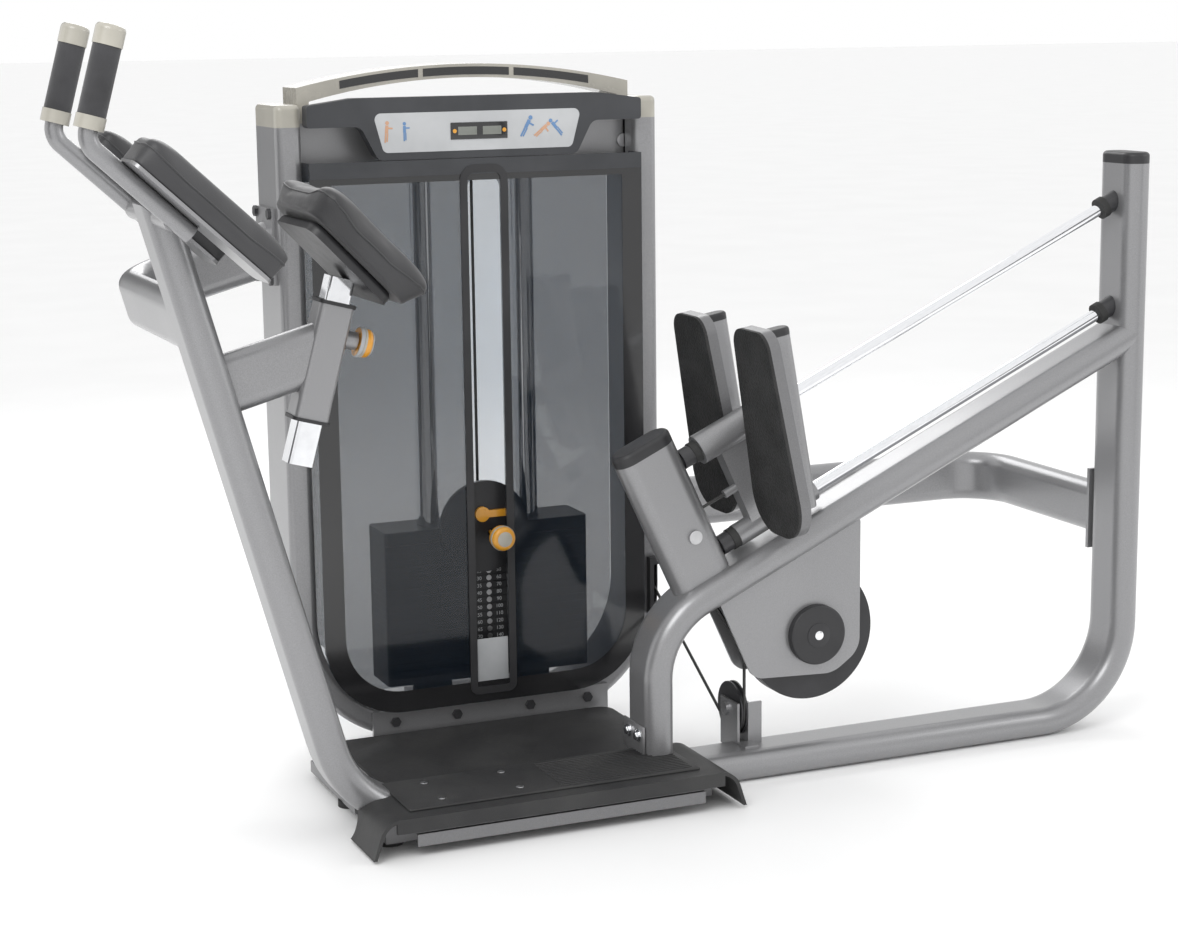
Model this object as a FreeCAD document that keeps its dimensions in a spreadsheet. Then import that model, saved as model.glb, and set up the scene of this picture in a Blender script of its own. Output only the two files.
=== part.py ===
"""Standing rear-kick machine: two foot plates on an inclined slide, driven against a weight stack.

Frame: +Z up, X along the machine from the hand grips (-X) to the rear upright (+X),
Y from the open side (-Y) to the weight tower (+Y). Lengths in millimetres.
Every frame tube is a flat oval. The slide is described in its own (along, above) coordinates:
"along" runs up the incline from the foot of the front post, "above" is square to it.
"""
import FreeCAD, Part
import math
import os
from FreeCAD import Placement, Rotation, Vector

DOCUMENT = FreeCAD.newDocument("RearKickMachine")
SHEET = DOCUMENT.addObject("Spreadsheet::Sheet", "Sizes")

SIZES = {
    # reference point: the middle of the footprint, seen from the main frame's plane
    "centre_shift_x": 16.0, "centre_shift_y": 169.0,
    # flat-oval frame tube
    "tube_thick": 57.0, "tube_wide": 114.0, "tube_wall": 3.0, "bend_radius": 190.0,
    # main frame, side view
    "rail_length": 1630.5, "rail_left": -591.5, "rear_upright_height": 1138.0,
    "user_upright_lean": 15.3, "user_upright_height": 1100.0, "handle_slope": 43.0,
    # incline
    "incline_angle": 25.0, "post_foot_x": 118.0, "post_foot_z": 371.4, "leg_x": 3.0, "leg_bend": 160.0,
    "post_thick": 122.0, "post_wide": 60.0, "post_height": 300.0, "cap_height": 22.0,
    # slide rods and carriage
    "rod_radius": 12.0, "rod_low": 62.0, "rod_high": 250.0, "rod_boss": 23.0, "bumper_length": 14.0,
    "bumper_radius": 21.0, "housing_length": 180.0, "low_housing_radius": 22.0,
    "high_housing_radius": 29.0, "bore_clearance": 0.05, "slide_gap": 0.5,
    "web_length": 110.0, "web_width": 34.0, "cross_tube_radius": 20.0, "carriage_travel": 650.0,
    # foot plates
    "foot_spacing": 128.0, "foot_length": 390.0, "foot_top_width": 130.0, "foot_low_width": 190.0,
    "foot_plate_thick": 20.0, "foot_pad_thick": 6.0, "foot_tilt": 10.0, "foot_x": 181.0, "foot_z": 684.0,
    "back_post_thick": 36.0, "back_post_wide": 54.0, "back_post_length": 330.0,
    # cable drive
    "cable_radius": 3.0, "cam_x": 330.0, "cam_z": 272.0, "cam_rim": 133.0, "cam_groove": 127.0,
    "cam_width": 36.0, "groove_offset": 9.0, "axle_radius": 8.0, "cam_plate_gap": 66.0,
    "cam_plate_thick": 6.0, "hub_cover_radius": 58.0, "hub_cover_thick": 8.0,
    "post_pulley_along": 13.5, "post_pulley_above": 116.4, "post_pulley_groove": 34.0,
    "pulley_lip": 4.0, "pulley_width": 14.0, "base_pulley_groove": 48.0, "base_pulley_z": 117.0,
    "column_pulley_groove": 32.0, "column_pulley_z": 340.0, "top_pulley_groove": 40.0,
    "top_pulley_z": 1190.0, "bracket_thick": 5.0,
    # platforms
    "platform_left": -606.0, "platform_right": 112.0, "platform_front": -182.0,
    "platform_rear": 23.0, "platform_top": 74.0, "platform_skin": 6.0, "floor_bar": 40.0,
    "rear_platform_left": -497.0, "rear_platform_right": 86.0, "rear_platform_end": 396.0,
    "rear_platform_top": 46.0, "foot_height": 12.0, "foot_radius": 24.0, "bar_step": 18.0,
    "bar_inset": 60.0, "lip_height": 22.0,
    # handles, grips and arm pads
    "handle_radius": 15.5, "handle_spread": 140.0, "grip_radius": 23.0, "grip_length": 112.0,
    "grip_lean": 15.6, "grip_base_x": -1025.0, "grip_base_z": 1268.0, "collar_length": 22.0,
    "grip_cap_length": 22.0, "handle_bend": 35.0, "handle_low_x": -868.0, "handle_low_z": 1095.0,
    "arm_pad_length": 306.0, "arm_pad_width": 120.0, "arm_pad_thick": 56.0, "arm_pad_along": 15.0,
    "arm_pad_spread": 167.0, "arm_plate_thick": 6.0,
    "soft_gap": 0.4,
    # chest support
    "chest_arm_high": 104.0, "chest_arm_wide": 52.0, "chest_arm_z": 820.0, "sleeve_side": 62.0,
    "sleeve_wall": 4.0, "sleeve_length": 200.0, "post_side": 46.0, "chest_post_length": 330.0,
    "chest_travel": 60.0, "bush_height": 6.0, "bush_side": 68.0, "chest_axis_x": -617.5,
    "chest_axis_z": 855.0, "chest_pad_length": 274.0, "chest_pad_width": 300.0,
    "chest_pad_thick": 60.0, "chest_shell_thick": 20.0, "shell_margin": 42.0,
    "chest_pad_slope": 46.0, "chest_pad_up": 30.0,
    "knob_radius": 25.0, "knob_travel": 10.0,
    # weight tower
    "tower_centre_x": -175.0, "tower_width": 780.0, "tower_front": 415.0, "column_width": 50.0,
    "column_depth": 150.0, "column_wall": 3.0, "column_height": 1236.0, "column_bend": 235.0,
    "beam_height": 80.0, "beam_length": 504.0, "beam_gap": 10.0, "column_cap_height": 42.0,
    "arch_rise": 39.0, "arch_end": 1308.0, "arch_leg": 24.0, "arch_thick": 26.0, "arch_depth": 90.0,
    "shroud_thick": 5.0, "shroud_forward": 34.0, "shroud_corner": 160.0, "slot_width": 68.0,
    "bezel_low": 1171.0, "bezel_high": 1288.0,
    "bezel_thick": 30.0, "placard_width": 424.0, "placard_height": 74.0,
    "stack_width": 430.0, "stack_depth": 108.0, "plate_thick": 14.6, "plate_pitch": 15.0,
    "plate_count": 19.0, "stack_floor": 129.0, "stack_x": -153.0, "slot_x": -168.0,
    "guide_spread": 106.0, "guide_radius": 22.0,
    "guide_clearance": 1.0, "selector_radius": 9.0, "selector_hole": 11.0,
    "disc_radius": 92.0, "disc_thick": 10.0, "disc_gap": 12.0, "top_plate_thick": 26.0,
    "bolt_flats": 18.0, "bolt_height": 6.5, "stack_gap": 0.6, "pin_radius": 4.0, "pin_travel": 60.0,
}

for row, (alias, value) in enumerate(SIZES.items(), start=1):
    SHEET.set(f"A{row}", alias)
    SHEET.set(f"B{row}", str(value))
    SHEET.setAlias(f"B{row}", alias)
DOCUMENT.recompute()


def size(alias):
    """The number a sheet cell holds."""
    return float(getattr(SHEET, alias))


NODES = []
X_AXIS, Y_AXIS, Z_AXIS = Vector(1, 0, 0), Vector(0, 1, 0), Vector(0, 0, 1)
SHIFT = Vector(-size("centre_shift_x"), -size("centre_shift_y"), 0)


# ---------------------------------------------------------------- building blocks
def finish(thing, label):
    """Name a sub-part and move it from frame coordinates to the reference point."""
    thing.Label = label
    thing.Placement = Placement(SHIFT, Rotation()).multiply(thing.Placement)
    NODES.append(thing)
    return thing


def shaped(label, shape):
    """A sub-part whose shape is computed directly from the sheet's sizes."""
    feature = DOCUMENT.addObject("Part::Feature", label)
    feature.Shape = shape
    return finish(feature, label)


def group(label, shapes):
    """Several separate solids that share one node."""
    return shaped(label, Part.makeCompound(shapes))


def bind(thing, **cells):
    """Tie properties of an object to sheet cells."""
    for name, formula in cells.items():
        thing.setExpression(name, formula)
    return thing


def native_group(label, things):
    """Several native features that share one node."""
    node = DOCUMENT.addObject("Part::Compound", label)
    node.Links = things
    return finish(node, label)


def round_bar(start, end, radius_cell):
    """A native cylinder between two points, its radius tied to the sheet."""
    bar = DOCUMENT.addObject("Part::Cylinder", "round_bar")
    bar.Height = (end - start).Length
    bar.Placement = Placement(start, turn_z_to(end - start))
    return bind(bar, Radius="Sizes." + radius_cell)


def square_block(x_from, x_to, y_from, y_to, z_from, height_formula):
    """A native box that stands at a level, its height tied to the sheet."""
    box = DOCUMENT.addObject("Part::Box", "square_block")
    box.Length, box.Width = x_to - x_from, y_to - y_from
    box.Placement = Placement(Vector(x_from, y_from, z_from), Rotation())
    return bind(box, Height=height_formula)


def hexagon_head(centre, direction, flats_cell, height_cell):
    """A native hexagon prism, its size across flats and height tied to the sheet."""
    head = DOCUMENT.addObject("Part::Prism", "hexagon_head")
    head.Polygon = 6
    head.Placement = Placement(centre, turn_z_to(direction))
    return bind(head, Circumradius="Sizes." + flats_cell + " / sqrt(3)", Height="Sizes." + height_cell)


def sketch_on(body, role, edges):
    """A sketch on one of the body's own origin planes, drawn with a flat outline's lines and arcs."""
    sketch = body.newObject("Sketcher::SketchObject", "outline")
    plane = [part for part in body.Origin.OriginFeatures if part.Role == role][0]
    sketch.AttachmentSupport = [(plane, "")]
    sketch.MapMode = "FlatFace"
    for edge in edges:
        first, last = edge.Vertexes[0].Point, edge.Vertexes[-1].Point
        if isinstance(edge.Curve, Part.Line):
            sketch.addGeometry(Part.LineSegment(first, last))
        else:
            middle = edge.valueAt((edge.FirstParameter + edge.LastParameter) / 2.0)
            sketch.addGeometry(Part.Arc(first, middle, last))
    return sketch


def padded(name, points, radii, origin, across, normal, thickness):
    """A body with one pad: a rounded outline in a plane, thickened along the plane's normal."""
    body = DOCUMENT.addObject("PartDesign::Body", name)
    sketch = sketch_on(body, "XY_Plane", rounded_outline(points, radii).Edges)
    pad = body.newObject("PartDesign::Pad", name + "_pad")
    pad.Profile = sketch
    bind(pad, Length=thickness)
    body.Placement = Placement(origin, Rotation(across, normal.cross(across), normal, "XYZ"))
    return body, pad


def rectangle(half_length, half_width):
    """Corners of a centred rectangle in a sketch plane."""
    return [Vector(half_length * a, half_width * b, 0) for a, b in ((-1, -1), (1, -1), (1, 1), (-1, 1))]


def turned(label, centre, axis, profile_edges):
    """A body turned round an axis from half its section: x is the radius and y lies along the axis."""
    body = DOCUMENT.addObject("PartDesign::Body", label)
    sketch = sketch_on(body, "XZ_Plane", profile_edges)
    turn = body.newObject("PartDesign::Revolution", label + "_turn")
    turn.Profile = sketch
    turn.ReferenceAxis = (sketch, ["V_Axis"])
    turn.Angle = 360.0
    body.Placement = Placement(centre, turn_z_to(axis))
    return finish(body, label)


def turn_z_to(direction):
    """The rotation that carries +Z onto a direction."""
    return Rotation(Z_AXIS, direction)


def rod(start, end, radius):
    """A round bar between two points."""
    span = end - start
    return Part.makeCylinder(radius, span.Length, start, span)


def ring(start, end, outer, inner):
    """A round sleeve between two points."""
    return rod(start, end, outer).cut(rod(start, end, inner))


def block(x_from, x_to, y_from, y_to, z_from, z_to):
    """A box between pairs of planes."""
    return Part.makeBox(x_to - x_from, y_to - y_from, z_to - z_from, Vector(x_from, y_from, z_from))


def rounded_outline(points, radii):
    """A closed outline of straight sides and tangent arcs at its corners."""
    return rounded_path(points, radii, closed=True)


def rounded_path(points, radii, closed=False):
    """Straight runs joined by tangent arcs, one radius for each corner."""
    count = len(points)
    corners = range(count) if closed else range(1, count - 1)
    cuts = {}
    edges = []
    for index in corners:
        corner = points[index]
        before = (points[index - 1] - corner).normalize()
        after = (points[(index + 1) % count] - corner).normalize()
        radius = radii[index % len(radii)] if closed else radii[index - 1]
        half = before.getAngle(after) / 2.0
        reach = radius / math.tan(half)
        middle = (before + after).normalize() * (radius / math.sin(half) - radius)
        cuts[index] = (corner + before * reach, corner + middle, corner + after * reach)
    for index in range(count if closed else count - 1):
        following = (index + 1) % count
        start = cuts[index][2] if index in cuts else points[index]
        end = cuts[following][0] if following in cuts else points[following]
        if (end - start).Length > 1e-4:
            edges.append(Part.LineSegment(start, end).toShape())
        if following in cuts:
            first, middle, last = cuts[following]
            edges.append(Part.Arc(first, middle, last).toShape())
    return Part.Wire(Part.__sortEdges__(edges))


def oval_wire(thick, wide, start, direction, wide_direction):
    """A flat-oval outline square to a path, its long side along wide_direction."""
    flat = (wide - thick) / 2.0
    radius = thick / 2.0
    side = wide_direction.cross(direction).normalize()
    along = Vector(wide_direction).normalize()

    def at(a, b):
        return start + side * a + along * b

    edges = [
        Part.LineSegment(at(radius, -flat), at(radius, flat)).toShape(),
        Part.Arc(at(radius, flat), at(0, flat + radius), at(-radius, flat)).toShape(),
        Part.LineSegment(at(-radius, flat), at(-radius, -flat)).toShape(),
        Part.Arc(at(-radius, -flat), at(0, -flat - radius), at(radius, -flat)).toShape(),
    ]
    return Part.Wire(edges)


def swept(path, profile):
    """A solid swept along a path without twist."""
    solid = path.makePipeShell([profile], True, False)
    solid = Part.Solid(solid) if solid.ShapeType == "Shell" else solid
    if solid.Volume < 0:
        solid.reverse()
    return solid


def oval_bar(points, radii, thick, wide, wide_direction, inset=0.0):
    """The full body of a flat-oval tube, or its bore when inset is the wall."""
    start = points[0]
    direction = (points[1] - points[0]).normalize()
    profile = oval_wire(thick - 2 * inset, wide - 2 * inset, start, direction, wide_direction)
    return swept(rounded_path(points, radii), profile)


def oval_tube(points, radii, wide_direction, wall=None, thick=None, wide=None):
    """A flat-oval tube with its wall."""
    wall = size("tube_wall") if wall is None else wall
    thick = size("tube_thick") if thick is None else thick
    wide = size("tube_wide") if wide is None else wide
    outer = oval_bar(points, radii, thick, wide, wide_direction)
    return outer.cut(oval_bar(points, radii, thick, wide, wide_direction, wall))


def prism(outline, thickness_vector):
    """A flat outline thickened along a vector."""
    return Part.Face(outline).extrude(thickness_vector)


def side_view(points, y):
    """Points of the side view as 3-D points in the plane at y."""
    return [Vector(px, y, pz) for px, pz in points]


# ---------------------------------------------------------------- shared places
TILT = math.radians(size("incline_angle"))
ALONG = Vector(math.cos(TILT), 0, math.sin(TILT))
ABOVE = Vector(-math.sin(TILT), 0, math.cos(TILT))
POST_FOOT = Vector(size("post_foot_x"), 0, size("post_foot_z"))
RAIL_Z = size("tube_thick") / 2.0
REAR_X = size("rail_left") + size("rail_length")
REAR_FACE = REAR_X - size("tube_thick") / 2.0
TOWER_LEFT = size("tower_centre_x") - size("tower_width") / 2.0
TOWER_RIGHT = size("tower_centre_x") + size("tower_width") / 2.0
STACK_X = size("stack_x")
TOWER_MIDDLE_Y = size("tower_front") + size("column_depth") / 2.0
CABLE_X = size("cam_x") - size("cam_groove")


def on_slide(along, above, y=0.0):
    """A point given along and above the incline."""
    return POST_FOOT + ALONG * along + ABOVE * above + Vector(0, y, 0)


LEAN = math.radians(size("user_upright_lean"))
LEAN_UP = Vector(-math.sin(LEAN), 0, math.cos(LEAN))
USER_FOOT = Vector(size("rail_left"), 0, RAIL_Z)
USER_TOP = USER_FOOT + LEAN_UP * ((size("user_upright_height") + 60.0 - RAIL_Z) / math.cos(LEAN))
BEND_REACH_USER = size("bend_radius") * math.tan((math.pi / 2 - LEAN) / 2)
RAIL_START_X = size("rail_left") + BEND_REACH_USER
RAIL_END_X = REAR_X - size("bend_radius")
ROD_END = (REAR_FACE - POST_FOOT.x) / math.cos(TILT)


def incline_outline(inset=0.0):
    """Incline tube with its leg, from the rear upright down to the base rail."""
    leg_x = size("leg_x")
    corner = Vector(leg_x, 0, POST_FOOT.z + (leg_x - POST_FOOT.x) * math.tan(TILT))
    start = Vector(leg_x, 0, size("tube_thick"))
    end = POST_FOOT + ALONG * ((REAR_X - POST_FOOT.x) / math.cos(TILT))
    return oval_bar([start, corner, end], [size("leg_bend")], size("tube_thick"), size("tube_wide"),
                    Y_AXIS, inset)


INCLINE_BODY = incline_outline()
REAR_BODY = oval_bar([Vector(REAR_X, 0, RAIL_Z), Vector(REAR_X, 0, size("rear_upright_height"))], [],
                     size("tube_thick"), size("tube_wide"), Y_AXIS)


# ---------------------------------------------------------------- main frame
def make_main_frame():
    """Base rail and the two uprights that grow out of its ends."""
    rail = [Vector(RAIL_START_X, 0, RAIL_Z), Vector(RAIL_END_X, 0, RAIL_Z)]
    shaped("base_rail", oval_tube(rail, [], Y_AXIS))
    rear = [Vector(RAIL_END_X, 0, RAIL_Z), Vector(REAR_X, 0, RAIL_Z),
            Vector(REAR_X, 0, size("rear_upright_height"))]
    reach = size("bend_radius")
    shaped("rear_upright", oval_tube(rear, [reach - 0.01], Y_AXIS))
    user = [Vector(RAIL_START_X, 0, RAIL_Z), USER_FOOT, USER_TOP]
    tube = oval_tube(user, [reach - 0.01], Y_AXIS)
    slope = math.radians(size("handle_slope"))
    down = Vector(math.cos(slope), 0, -math.sin(slope))
    out = Vector(math.sin(slope), 0, math.cos(slope))
    seat = USER_FOOT + LEAN_UP * ((size("user_upright_height") - RAIL_Z) / math.cos(LEAN))
    trim = Part.makeBox(400, 300, 200)
    trim.Placement = Placement(seat - down * 200 - Y_AXIS * 150, Rotation(down, Y_AXIS, out, "XYZ"))
    shaped("user_upright", tube.cut(trim))


def make_incline():
    """Incline tube, front post, and the plugs in the open tube ends."""
    tube = INCLINE_BODY.cut(incline_outline(size("tube_wall"))).cut(REAR_BODY)
    post = [on_slide(0, 0), on_slide(0, size("post_height"))]
    outer = oval_bar(post, [], size("post_wide"), size("post_thick"), ALONG)
    inner = oval_bar(post, [], size("post_wide"), size("post_thick"), ALONG, size("tube_wall"))
    slot = cable_slot()
    shaped("incline_rail", tube.cut(slot))
    shaped("front_post", outer.cut(inner).cut(INCLINE_BODY).cut(post_opening()).cut(post_axle_hole()))
    caps = []
    cap_low = on_slide(0, size("post_height"))
    cap_high = on_slide(0, size("post_height") + size("cap_height"))
    cap = oval_bar([cap_low, cap_high], [], size("post_wide"), size("post_thick"), ALONG)
    caps.append(soften_top(cap, ABOVE, cap_high, 8.0))
    low = Vector(REAR_X, 0, size("rear_upright_height"))
    high = low + Z_AXIS * size("cap_height")
    cap = oval_bar([low, high], [], size("tube_thick"), size("tube_wide"), Y_AXIS)
    caps.append(soften_top(cap, Z_AXIS, high, 8.0))
    group("tube_end_caps", caps)


def soften_top(solid, direction, top_point, radius):
    """Round the edges that lie in the end plane of a plug."""
    edges = []
    for edge in solid.Edges:
        heights = [(vertex.Point - top_point).dot(direction) for vertex in edge.Vertexes]
        if all(abs(height) < 0.05 for height in heights):
            edges.append(edge)
    return solid.makeFillet(radius, edges)


def tangent_points(first, first_radius, second, second_radius, side):
    """Ends of the outer tangent of two circles in a plane; side picks the left or right one."""
    span = second - first
    distance = span.Length
    forward = span * (1.0 / distance)
    normal = Vector(-forward.z, 0, forward.x) * side
    rise = (first_radius - second_radius) / distance
    run = math.sqrt(1.0 - rise * rise)
    offset = forward * rise + normal * run
    return first + offset * first_radius, second + offset * second_radius


POST_PULLEY = on_slide(size("post_pulley_along"), size("post_pulley_above"), -size("groove_offset"))
CAM_CENTRE = Vector(size("cam_x"), 0, size("cam_z"))
CAM_FRONT = CAM_CENTRE - Vector(0, size("groove_offset"), 0)
PULL_TOP, PULL_LOW = tangent_points(POST_PULLEY, size("post_pulley_groove"), CAM_FRONT,
                                    size("cam_groove"), -1)
PULL_LINE = POST_PULLEY + ABOVE * size("post_pulley_groove")


def cable_slot():
    """Opening through the incline tube for the cable between front post and cam wheel."""
    half = size("cable_radius") + 4.0
    direction = (PULL_LOW - PULL_TOP).normalize()
    slot = Part.makeBox(3 * half, 2 * half, 330.0)
    side = Y_AXIS.cross(direction)
    corner = PULL_TOP - side * (1.5 * half) - Y_AXIS * half - direction * 10.0
    slot.Placement = Placement(corner, Rotation(side, Y_AXIS, direction, "XYZ"))
    return slot


def post_opening():
    """Window in the post where the pull cable leaves towards the carriage."""
    half = size("cable_radius") + 4.0
    start = PULL_LINE + ALONG * 10.0
    return rod(start, start + ALONG * 80.0, half)


def post_axle_hole():
    """Cross hole for the post pulley's axle."""
    centre = Vector(POST_PULLEY.x, 0, POST_PULLEY.z)
    return rod(centre - Y_AXIS * 60, centre + Y_AXIS * 60, size("axle_radius"))


make_main_frame()
make_incline()


# ---------------------------------------------------------------- floor parts
def make_floor_parts():
    """Cross bars under the two platforms, their end feet, and the platforms themselves."""
    bar = size("floor_bar")
    gap = size("foot_height")
    clear = size("tube_wide") / 2.0
    front = size("platform_front")
    left_x = size("platform_left") + 62.0
    right_x = size("platform_right") - 62.0
    bars = []
    low_bar, high_bar = "Sizes.floor_bar - Sizes.bar_step", "Sizes.floor_bar"
    for bar_x in (left_x, right_x):
        near_side, far_side = bar_x - bar / 2, bar_x + bar / 2
        bars.append(square_block(near_side, far_side, front + size("bar_inset"), -clear, gap, high_bar))
        bars.append(square_block(near_side, far_side, clear, size("rear_platform_end") - 60.0, gap, low_bar))
    link_end = size("tower_front") - 8.0
    for link_x in (-330.0, -38.0):
        bars.append(square_block(link_x - bar / 2, link_x + bar / 2, clear, link_end, gap, low_bar))
    bars.append(square_block(left_x + bar / 2, right_x - bar / 2, front + 4.0, front + 12.0, gap + 8.0,
                             "Sizes.lip_height"))
    bars.append(square_block(left_x + bar / 2, right_x - bar / 2, front + size("bar_inset"),
                             front + size("bar_inset") + bar, gap + 1.0, "Sizes.floor_bar - 2"))
    native_group("floor_bars", bars)
    feet = []
    spots = [(left_x, front + 100.0), (right_x, front + 100.0), (left_x, 146.0), (right_x, 146.0)]
    for foot_x, foot_y in spots:
        feet.append(round_bar(Vector(foot_x, foot_y, 0), Vector(foot_x, foot_y, gap), "foot_radius"))
    native_group("rubber_feet", feet)


def make_front_platform():
    """Tread the user steps on: flat top with both ends and the front edge turned down."""
    skin = size("platform_skin")
    left, right = size("platform_left"), size("platform_right")
    front, rear, top = size("platform_front"), size("platform_rear"), size("platform_top")
    low = 6.0
    outer_points = side_view([(left, low), (left + 22, top), (right - 22, top), (right, low)], front)
    inner_points = side_view([(right - skin, low), (right - 22 - skin, top - skin),
                              (left + 22 + skin, top - skin), (left + skin, low)], front)
    outer = rounded_path(outer_points, [40.0, 40.0])
    inner = rounded_path(inner_points, [40.0 - skin, 40.0 - skin])
    close_right = Part.LineSegment(outer_points[3], inner_points[0]).toShape()
    close_left = Part.LineSegment(inner_points[3], outer_points[0]).toShape()
    section = Part.Wire(Part.__sortEdges__(outer.Edges + [close_right] + inner.Edges + [close_left]))
    tread = prism(section, Y_AXIS * (rear - front))
    lip = block(left + 44.0, right - 44.0, front, front + skin, top - 26.0, top - skin / 2)
    tread = tread.fuse(lip).removeSplitter()
    pass_through = oval_bar([Vector(left - 200, 0, RAIL_Z), Vector(right + 200, 0, RAIL_Z)], [],
                            size("tube_thick") + 2.0, size("tube_wide") + 2.0, Y_AXIS)
    tread = tread.cut(pass_through)
    bend = oval_bar([Vector(RAIL_START_X + 5, 0, RAIL_Z), USER_FOOT, USER_TOP], [size("bend_radius")],
                    size("tube_thick") + 3.0, size("tube_wide") + 3.0, Y_AXIS)
    tread = tread.cut(bend)
    leg = oval_bar([Vector(size("leg_x"), 0, 0), Vector(size("leg_x"), 0, 200)], [],
                   size("tube_thick") + 3.0, size("tube_wide") + 3.0, Y_AXIS)
    shaped("front_platform", tread.cut(leg))


def make_rear_platform():
    """Low floor cover between the main frame and the tower."""
    skin = size("platform_skin")
    left, right = size("rear_platform_left"), size("rear_platform_right")
    near, far, top = size("platform_rear") + 36.0, size("rear_platform_end"), size("rear_platform_top")
    half_length, half_width = (right - left) / 2.0, (far - near) / 2.0
    middle = Vector((left + right) / 2.0, (near + far) / 2.0, top - skin)
    body, _ = padded("rear_platform", rectangle(half_length, half_width), [30.0], middle, X_AXIS, Z_AXIS,
                     "Sizes.platform_skin")
    finish(body, "rear_platform")


# ---------------------------------------------------------------- braces to the tower
def make_braces():
    """Two bent tubes that tie the uprights to the tower columns, with their end plates."""
    thick, wide = size("tube_thick"), size("tube_wide")
    plate = 8.0
    height = 932.0
    start_x = USER_FOOT.x - (height - RAIL_Z) * math.tan(LEAN)
    start = Vector(start_x, thick, height)
    corner = Vector(start_x, TOWER_MIDDLE_Y + 10.0, height)
    end = Vector(TOWER_LEFT - plate, TOWER_MIDDLE_Y + 10.0, 1004.0)
    normal = (corner - start).cross(end - corner).normalize()
    wide_direction = normal if normal.z > 0 else normal * -1.0
    tube = oval_tube([start - (corner - start).normalize() * 30.0, corner, end + (end - corner) * 0.1],
                     [95.0], wide_direction, None, thick - 5.0, wide - 10.0)
    user_body = oval_bar([USER_FOOT, USER_TOP], [], thick, wide, Y_AXIS)
    keep = Part.makeBox(2000, 2000, 2000, Vector(TOWER_LEFT - plate, -500, 0))
    tube = tube.cut(user_body).cut(keep)
    tube = max(tube.Solids, key=lambda solid: solid.Volume)
    end_plate = block(TOWER_LEFT - plate, TOWER_LEFT, TOWER_MIDDLE_Y - 50, TOWER_MIDDLE_Y + 60, 940, 1085)
    shaped("left_brace", tube.fuse(end_plate).removeSplitter())
    height = 435.0
    depth = TOWER_MIDDLE_Y
    start = Vector(REAR_X, wide / 2.0 + plate, height)
    corner = Vector(REAR_X, depth, height)
    end = Vector(TOWER_RIGHT + plate, depth, height)
    tube = oval_tube([start, corner, end], [110.0], Z_AXIS, None, thick - 5.0, wide - 10.0)
    near_plate = block(REAR_X - 26, REAR_X + 26, wide / 2.0, wide / 2.0 + plate, height - 82, height + 82)
    far_plate = block(TOWER_RIGHT, TOWER_RIGHT + plate, depth - 40, depth + 40, height - 82, height + 82)
    shaped("right_brace", tube.fuse([near_plate, far_plate]).removeSplitter())


# ---------------------------------------------------------------- handles, grips and arm pads
GRIP_LEAN = math.radians(size("grip_lean"))
GRIP_UP = Vector(math.sin(GRIP_LEAN), 0, math.cos(GRIP_LEAN))


def grip_base(side):
    """Where a grip's lower collar starts."""
    return Vector(size("grip_base_x"), side * size("handle_spread"), size("grip_base_z"))


def make_handles():
    """Two bent handle tubes welded to a cross bar on the user upright, with the arm pads' plates."""
    radius = size("handle_radius")
    shapes = []
    tubes = []
    slope = math.radians(size("handle_slope"))
    down = Vector(math.cos(slope), 0, -math.sin(slope))
    full_grip = size("grip_length") + 2 * size("collar_length")
    for side in (-1, 1):
        low = Vector(size("handle_low_x"), side * size("handle_spread"), size("handle_low_z"))
        base = grip_base(side)
        rise = base.z - low.z - (low.x - base.x) * math.tan(slope)
        corner = base - GRIP_UP * (rise / (math.cos(GRIP_LEAN) + math.sin(GRIP_LEAN) * math.tan(slope)))
        path = rounded_path([low, corner, base + GRIP_UP * full_grip], [size("handle_bend")])
        circle = Part.Wire(Part.makeCircle(radius, low, down))
        tubes.append(swept(path, circle))
    bar_centre = Vector(size("handle_low_x"), 0, size("handle_low_z")) - down * 36.0
    bar = rod(bar_centre - Y_AXIS * size("handle_spread"), bar_centre + Y_AXIS * size("handle_spread"), 19.0)
    frame = bar.fuse(tubes).removeSplitter()
    user = oval_bar([USER_FOOT, USER_TOP], [], size("tube_thick"), size("tube_wide"), Y_AXIS)
    out = Vector(math.sin(slope), 0, math.cos(slope))
    seat = USER_FOOT + LEAN_UP * ((size("user_upright_height") - RAIL_Z) / math.cos(LEAN))
    trim = Part.makeBox(400, 300, 200)
    trim.Placement = Placement(seat - down * 200 - Y_AXIS * 150, Rotation(down, Y_AXIS, out, "XYZ"))
    frame = frame.cut(user.cut(trim))
    shapes.append(frame)
    for side in (-1, 1):
        shapes.append(arm_pad_block(side, True))
    group("handle_frame", [frame] + [plate.cut(frame) for plate in shapes[1:]])


HANDLE_SLOPE = math.radians(size("handle_slope"))
ARM_DOWN = Vector(math.cos(HANDLE_SLOPE), 0, -math.sin(HANDLE_SLOPE))
ARM_OUT = Vector(math.sin(HANDLE_SLOPE), 0, math.cos(HANDLE_SLOPE))


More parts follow.
